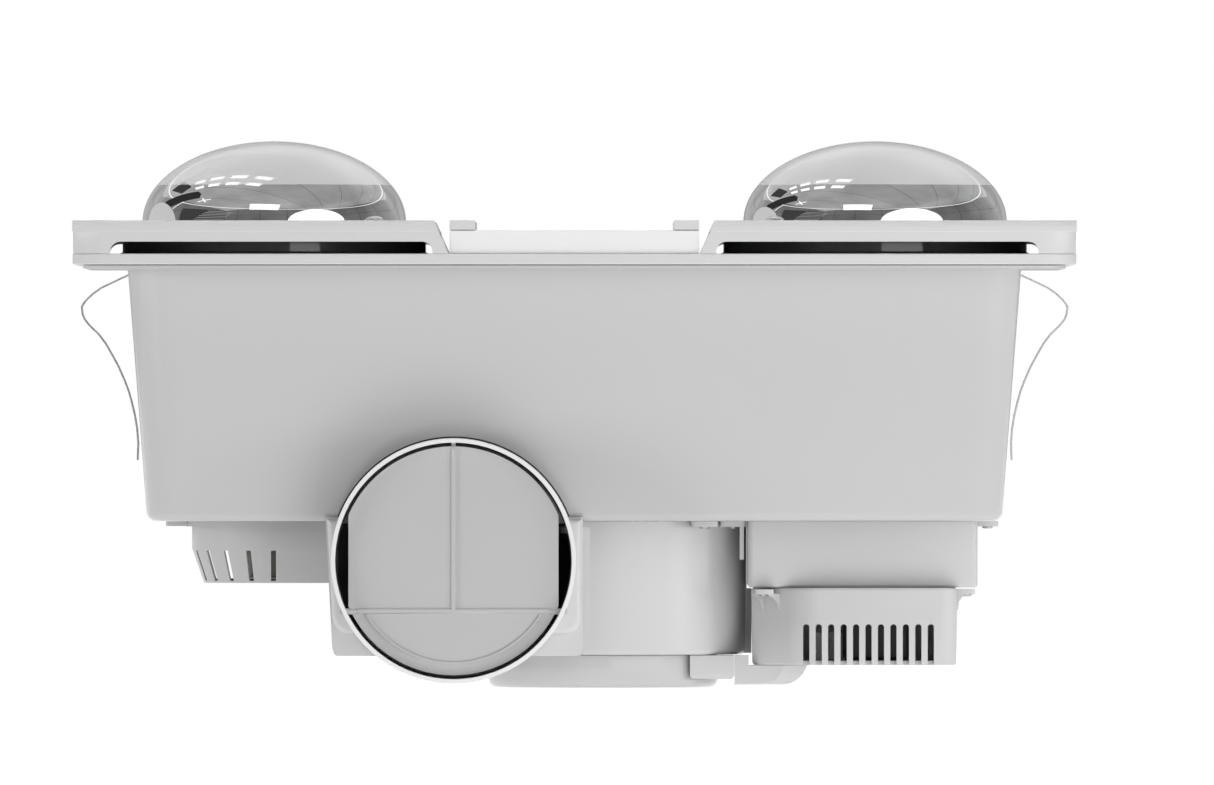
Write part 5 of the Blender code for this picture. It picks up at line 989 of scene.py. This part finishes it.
screwSet = {"radius": 0.0026, "tall": 0.0011, "slot": 0.0006, "deep": 0.0006, "reach": 0.6,
            "head": ((1, 0.45), (0.86, 0.82), (0.55, 1)), "tabThick": 0.0026, "earDeep": 0.0032,
            "underTabs": ((0.0624, -0.048), (0.0764, -0.031), (0.1990, 0)),
            "underEars": ((0.0911, -0.042), (0.1885, -0.030))}


def makeScrews():
    radius, tall, slot, deep = (screwSet[key] for key in ("radius", "tall", "slot", "deep"))
    under = levels["scrollHigh"] - screwSet["tabThick"]
    boxEar = electricsSet["high"][2] - screwSet["earDeep"]
    places = [(*spot, under) for spot in screwSet["underTabs"]] + [(*spot, boxEar) for spot in screwSet["underEars"]]
    dome = [(radius * wide, -tall * drop) for wide, drop in screwSet["head"]]
    reach = radius * screwSet["reach"]
    heads, crosses = [], []
    for place in places:
        head = spinShape([(0, 0), (radius, 0)] + dome + [(0, -tall)], 24)
        bmesh.ops.translate(head, vec=place, verts=head.verts)
        heads.append(head)
        for along, across in ((reach, slot / 2), (slot / 2, reach)):
            crosses.append(boxShape((place[0] - along, place[1] - across, place[2] - tall - deep),
                                    (place[0] + along, place[1] + across, place[2] - tall + deep)))
    one, other = gathered(crosses[0::2]), gathered(crosses[1::2])
    addPiece("screws", gathered(heads), "screw", "chassis", cuts=[one, other])


# CAD nodes whose shape is right and that only take a better finish
keptLooks = {
    "led_board": "board", "led_driver": "board", "terminal_block": "board", "motor_capacitor": "black",
    "impeller": "impeller", "motor_shaft": "spring", "motor_rotor": "motor", "motor_stator": "motor",
    "motor_winding": "winding", "motor_bearing_lower": "cap", "motor_bearing_upper": "cap",
    "motor_bracket": "spring", "clip_bracket_left": "spring", "clip_bracket_right": "spring",
    "clip_pin_left": "spring", "clip_pin_right": "spring",
}

makePlate()
makeCovers()
makeCollars()
makeLight()
print("fascia made")
makeLamps()
print("lamps made")
makeHousing()
makeLeftCover()
makeRightCover()
makeElectrics()
print("housing and boxes made")
makeScroll()
makeInletRing()
makeMotorCap()
makeLeads()
makeAdaptor()
makeFlap()
print("fan and duct made")
makeClips()
makeScrews()
for node, look in keptLooks.items():
    nodes[node].data.materials.clear()
    nodes[node].data.materials.append(finishes[look].material)
print("clips and small parts made")

# Floor, white ground and light
stageSet = {"floor": 40.0, "drop": 0.0005, "white": (0.96, 0.96, 0.96), "shadow": 0.14, "glow": 1.13, "ambient": 0.37,
            "right": -0.02, "under": 0.34}
# What the lamps' mirror shows: a grey room with lights, seen by reflections alone
roomSet = {"half": 2.6, "low": -2.4, "high": 1.70, "middle": (0, 0, 0.22), "wall": 0.15, "ceiling": 0.36,
           "band": 0.02, "rear": 0.26, "seam": 0.45, "seamWide": (0.012, 0.010), "seamEvery": (0.55, 0.48),
           "cloud": (0.9, 3, 0.82, 1.22)}
# Each card: azimuth, elevation, distance, width, height, roll, tone, and whether it is round
cards = {
    "window": (-13, 32, 2.2, 0.93, 0.47, 0, 1.4, False),
    "darkLeft": (-104, 30, 2.1, 1.25, 0.42, 48, 0.03, False),
    "darkLow": (-122, 36, 2.2, 0.60, 0.34, 20, 0.05, False),
    "darkStairs": (-68, 8, 2.3, 1.90, 1.10, 0, 0.055, False),
    "paleLeft": (-116, 0, 1.5, 1.20, 1.05, 0, 0.62, True),
    "sparkOne": (-77, 35, 1.9, 0.36, 0.035, 40, 1.4, False),
    "sparkTwo": (-77, 35, 1.9, 0.26, 0.035, -35, 1.4, False),
    "sparkThree": (-100, 22, 1.9, 0.42, 0.03, 62, 1.2, False),
}
ceilingLights = {"start": (-1.34, 0.36), "along": (0.30, -0.20), "across": (0.17, 0.25), "size": (0.23, 0.13, 0.02),
                 "rows": 2, "count": 4, "tone": 1.3, "hang": 0.06}
railSet = {"radius": 2.0, "thick": 0.014, "rise": 27, "tone": 1.2}
stairSet = {"bars": 9, "left": (-0.62, 0.07), "right": (0.34, 0.05), "rise": (-0.18, 0.10), "thick": 0.025,
            "deep": 0.04, "azimuth": -62, "away": 1.85, "tone": 0.36}


def onlyReflected(thing):
    for ray in ("camera", "diffuse", "transmission", "volume_scatter", "shadow"):
        setattr(thing, "visible_" + ray, False)


def glowing(name, tone):
    finish = Finish(name)
    finish.show(finish.glow((tone, tone, tone, 1), 1.0))
    return finish.material


def hangCard(name, shape, material, matrix=Matrix.Identity(4)):
    thing = bpy.data.objects.new(name, meshOf(name, shape))
    scene.collection.objects.link(thing)
    thing.data.materials.append(material)
    thing.matrix_world = matrix
    onlyReflected(thing)


def makeRoom():
    half, low, high = roomSet["half"], roomSet["low"], roomSet["high"]
    finish = Finish("roomWall")
    across, along, rise = (finish.node("ShaderNodeSeparateXYZ", {}, {"Vector": finish.place}, axis)
                           for axis in range(3))
    overhead = rise.above(high - roomSet["band"])
    # Thin seams divide the walls and the ceiling into boards
    (acrossWide, levelWide), (acrossEvery, levelEvery) = roomSet["seamWide"], roomSet["seamEvery"]
    cross, level = (across + along).folded(acrossEvery), rise.folded(levelEvery)
    lines = cross.maths("MAXIMUM", 1 - cross.above(acrossWide), (1 - level.above(levelWide)) * (1 - overhead))
    scale, detail, dim, bright = roomSet["cloud"]
    cloud = finish.spread(finish.grain(scale, detail), dim, bright)
    base = overhead * roomSet["ceiling"] + (1 - overhead) * roomSet["wall"]
    behind = finish.spread(along, 0, roomSet["rear"], 0, half)
    strength = (base + behind) * cloud * (1 - lines * (1 - roomSet["seam"]))
    finish.show(finish.glow((1, 1, 1, 1), strength))
    hangCard("room", boxShape((-half, -half, low), (half, half, high)), finish.material)


def wayTo(azimuth, elevation=0):
    # The way from the middle of the room, with azimuth 0 towards the camera
    turn, rise = math.radians(azimuth), math.radians(elevation)
    return Vector((math.sin(turn) * math.cos(rise), -math.cos(turn) * math.cos(rise), math.sin(rise)))


def makeCards():
    middle = Vector(roomSet["middle"])
    for name, (azimuth, elevation, away, wide, tall, roll, tone, isRound) in cards.items():
        way, shape = wayTo(azimuth, elevation), bmesh.new()
        if isRound:
            bmesh.ops.create_circle(shape, segments=64, radius=0.5, cap_ends=True)
        else:
            bmesh.ops.create_grid(shape, x_segments=1, y_segments=1, size=0.5)
        bmesh.ops.scale(shape, vec=(wide, tall, 1), verts=shape.verts)
        face = way.to_track_quat("Z", "Y").to_matrix().to_4x4() @ Matrix.Rotation(math.radians(roll), 4, "Z")
        hangCard(name, shape, glowing(name, tone), Matrix.Translation(middle + way * away) @ face)


def makeRail():
    radius, thick = railSet["radius"], railSet["thick"]
    corners = [math.radians(60 * step) for step in range(6)]
    rail = spinShape([(radius + thick * math.cos(turn), thick * math.sin(turn)) for turn in corners], 128)
    place = Vector(roomSet["middle"]) + Vector((0, 0, radius * math.tan(math.radians(railSet["rise"]))))
    hangCard("rail", rail, glowing("railGlow", railSet["tone"]), Matrix.Translation(place))


def makeStairs():
    steps, half = [], stairSet["deep"] / 2
    (left, leftStep), (right, rightStep), (low, rise) = stairSet["left"], stairSet["right"], stairSet["rise"]
    for step in range(stairSet["bars"]):
        foot = rise * step + low
        steps.append(boxShape((left + leftStep * step, -half, foot),
                              (right + rightStep * step, half, foot + stairSet["thick"])))
    place = Vector(roomSet["middle"]) + wayTo(stairSet["azimuth"]) * stairSet["away"]
    turn = Matrix.Rotation(math.radians(stairSet["azimuth"]), 4, "Z")
    hangCard("steps", gathered(steps), glowing("stepGlow", stairSet["tone"]), Matrix.Translation(place) @ turn)


def makeCeilingLights():
    panels = []
    half = Vector(ceilingLights["size"]) / 2
    along, across = Vector(ceilingLights["along"]), Vector(ceilingLights["across"])
    for row in range(ceilingLights["rows"]):
        for count in range(ceilingLights["count"]):
            spot = Vector(ceilingLights["start"]) + along * count + across * row
            place = (*spot, roomSet["high"] - ceilingLights["hang"])
            panels.append(placed(boxShape(-half, half), place, math.atan2(along.y, along.x), "Z"))
    hangCard("ceilingLights", gathered(panels), glowing("panelGlow", ceilingLights["tone"]))


def makeFloor():
    # White to the camera and to mirrors, with a faint shadow; other rays pass through it
    ground = bmesh.new()
    bmesh.ops.create_grid(ground, x_segments=1, y_segments=1, size=stageSet["floor"])
    bmesh.ops.translate(ground, vec=(0, 0, -stageSet["drop"]), verts=ground.verts)
    floor = bpy.data.objects.new("floor", meshOf("floor", ground))
    scene.collection.objects.link(floor)
    finish = Finish("floorWhite", 0.9)
    finish.shader.inputs["Base Color"].default_value = (*stageSet["white"], 1)
    glow = finish.glow((1, 1, 1, 1), stageSet["glow"])
    clear = finish.node("ShaderNodeBsdfTransparent")
    rays = finish.tree.nodes.new("ShaderNodeLightPath")
    seen = [Wire(finish, rays.outputs[key]) for key in ("Is Camera Ray", "Is Glossy Ray", "Is Transmission Ray")]
    lit = finish.node("ShaderNodeMixShader", {}, {0: 1 - stageSet["shadow"], 1: Wire(finish, finish.shader.outputs[0]),
                                                  2: glow})
    finish.show(finish.node("ShaderNodeMixShader", {}, {0: seen[0] + seen[1] + seen[2], 1: clear, 2: lit}))
    floor.data.materials.append(finish.material)


def makeSky():
    # White to the camera, and a soft light that is fuller from the right and from below
    world = bpy.data.worlds.new("studio")
    scene.world = world
    world.use_nodes = True
    tree = world.node_tree
    tree.nodes.clear()

    def made(kind, operation=None, first=None, second=None):
        item = tree.nodes.new(kind)
        if operation:
            item.operation = operation
        for index, value in ((0, first), (1, second)):
            if isinstance(value, bpy.types.NodeSocket):
                tree.links.new(value, item.inputs[index])
            elif value is not None:
                item.inputs[index].default_value = value
        return item.outputs

    way = made("ShaderNodeSeparateXYZ", None, made("ShaderNodeTexCoord")["Generated"])
    across = made("ShaderNodeMath", "MULTIPLY", way["X"], stageSet["right"])[0]
    down = made("ShaderNodeMath", "MULTIPLY", way["Z"], -stageSet["under"])[0]
    level = made("ShaderNodeMath", "ADD", made("ShaderNodeMath", "ADD", across, down)[0], stageSet["ambient"])[0]
    rays = made("ShaderNodeLightPath")
    seen = made("ShaderNodeMath", "MAXIMUM", rays["Is Camera Ray"], rays["Is Transmission Ray"])[0]
    seen = made("ShaderNodeMath", "MAXIMUM", seen, rays["Is Glossy Ray"])[0]
    both = tree.nodes.new("ShaderNodeMix")
    for index, socket in ((0, seen), (2, level)):
        tree.links.new(socket, both.inputs[index])
    both.inputs[3].default_value = 1.0
    ground, out = tree.nodes.new("ShaderNodeBackground"), tree.nodes.new("ShaderNodeOutputWorld")
    tree.links.new(both.outputs[0], ground.inputs["Strength"])
    tree.links.new(ground.outputs[0], out.inputs["Surface"])
    ground.inputs["Color"].default_value = (1, 1, 1, 1)


# Place, target, size, watts, and whether glossy surfaces mirror it as a disc
lampSpots = {
    "softDisc": ((1.10, -1.55, 0.20), (0, 0, 0.16), 1.94, 11.5, True),
    "lowRight": ((2.25, -0.95, 0.08), (0, 0, 0.12), 0.55, 10.5, False),
    "lowLeft": ((-2.25, -0.95, 0.08), (0, 0, 0.12), 0.9, 21.0, False),
    "frontFill": ((0.25, -0.75, -0.42), (0, 0, 0.10), 0.5, 1.9, False),
    "overhead": ((0.1, 0.1, 1.8), (0, 0, 0.2), 1.2, 20.0, False),
    "rearFill": ((-0.7, 2.2, 1.0), (0, 0, 0.14), 1.4, 26.0, False),
}


def addLamp(name, place, target, size, power, mirrored):
    light = bpy.data.lights.new(name, "AREA")
    light.shape, light.size, light.energy = "DISK" if mirrored else "SQUARE", size, power
    thing = bpy.data.objects.new(name, light)
    thing.location = place
    thing.rotation_euler = (Vector(target) - Vector(place)).to_track_quat("-Z", "Y").to_euler()
    thing.visible_glossy, thing.visible_camera = mirrored, False
    scene.collection.objects.link(thing)


makeFloor()
makeSky()
makeRoom()
makeCards()
makeRail()
makeStairs()
makeCeilingLights()
for name, lamp in lampSpots.items():
    addLamp(name, *lamp)
scene.view_settings.view_transform = "Standard"
print("stage and lights made")
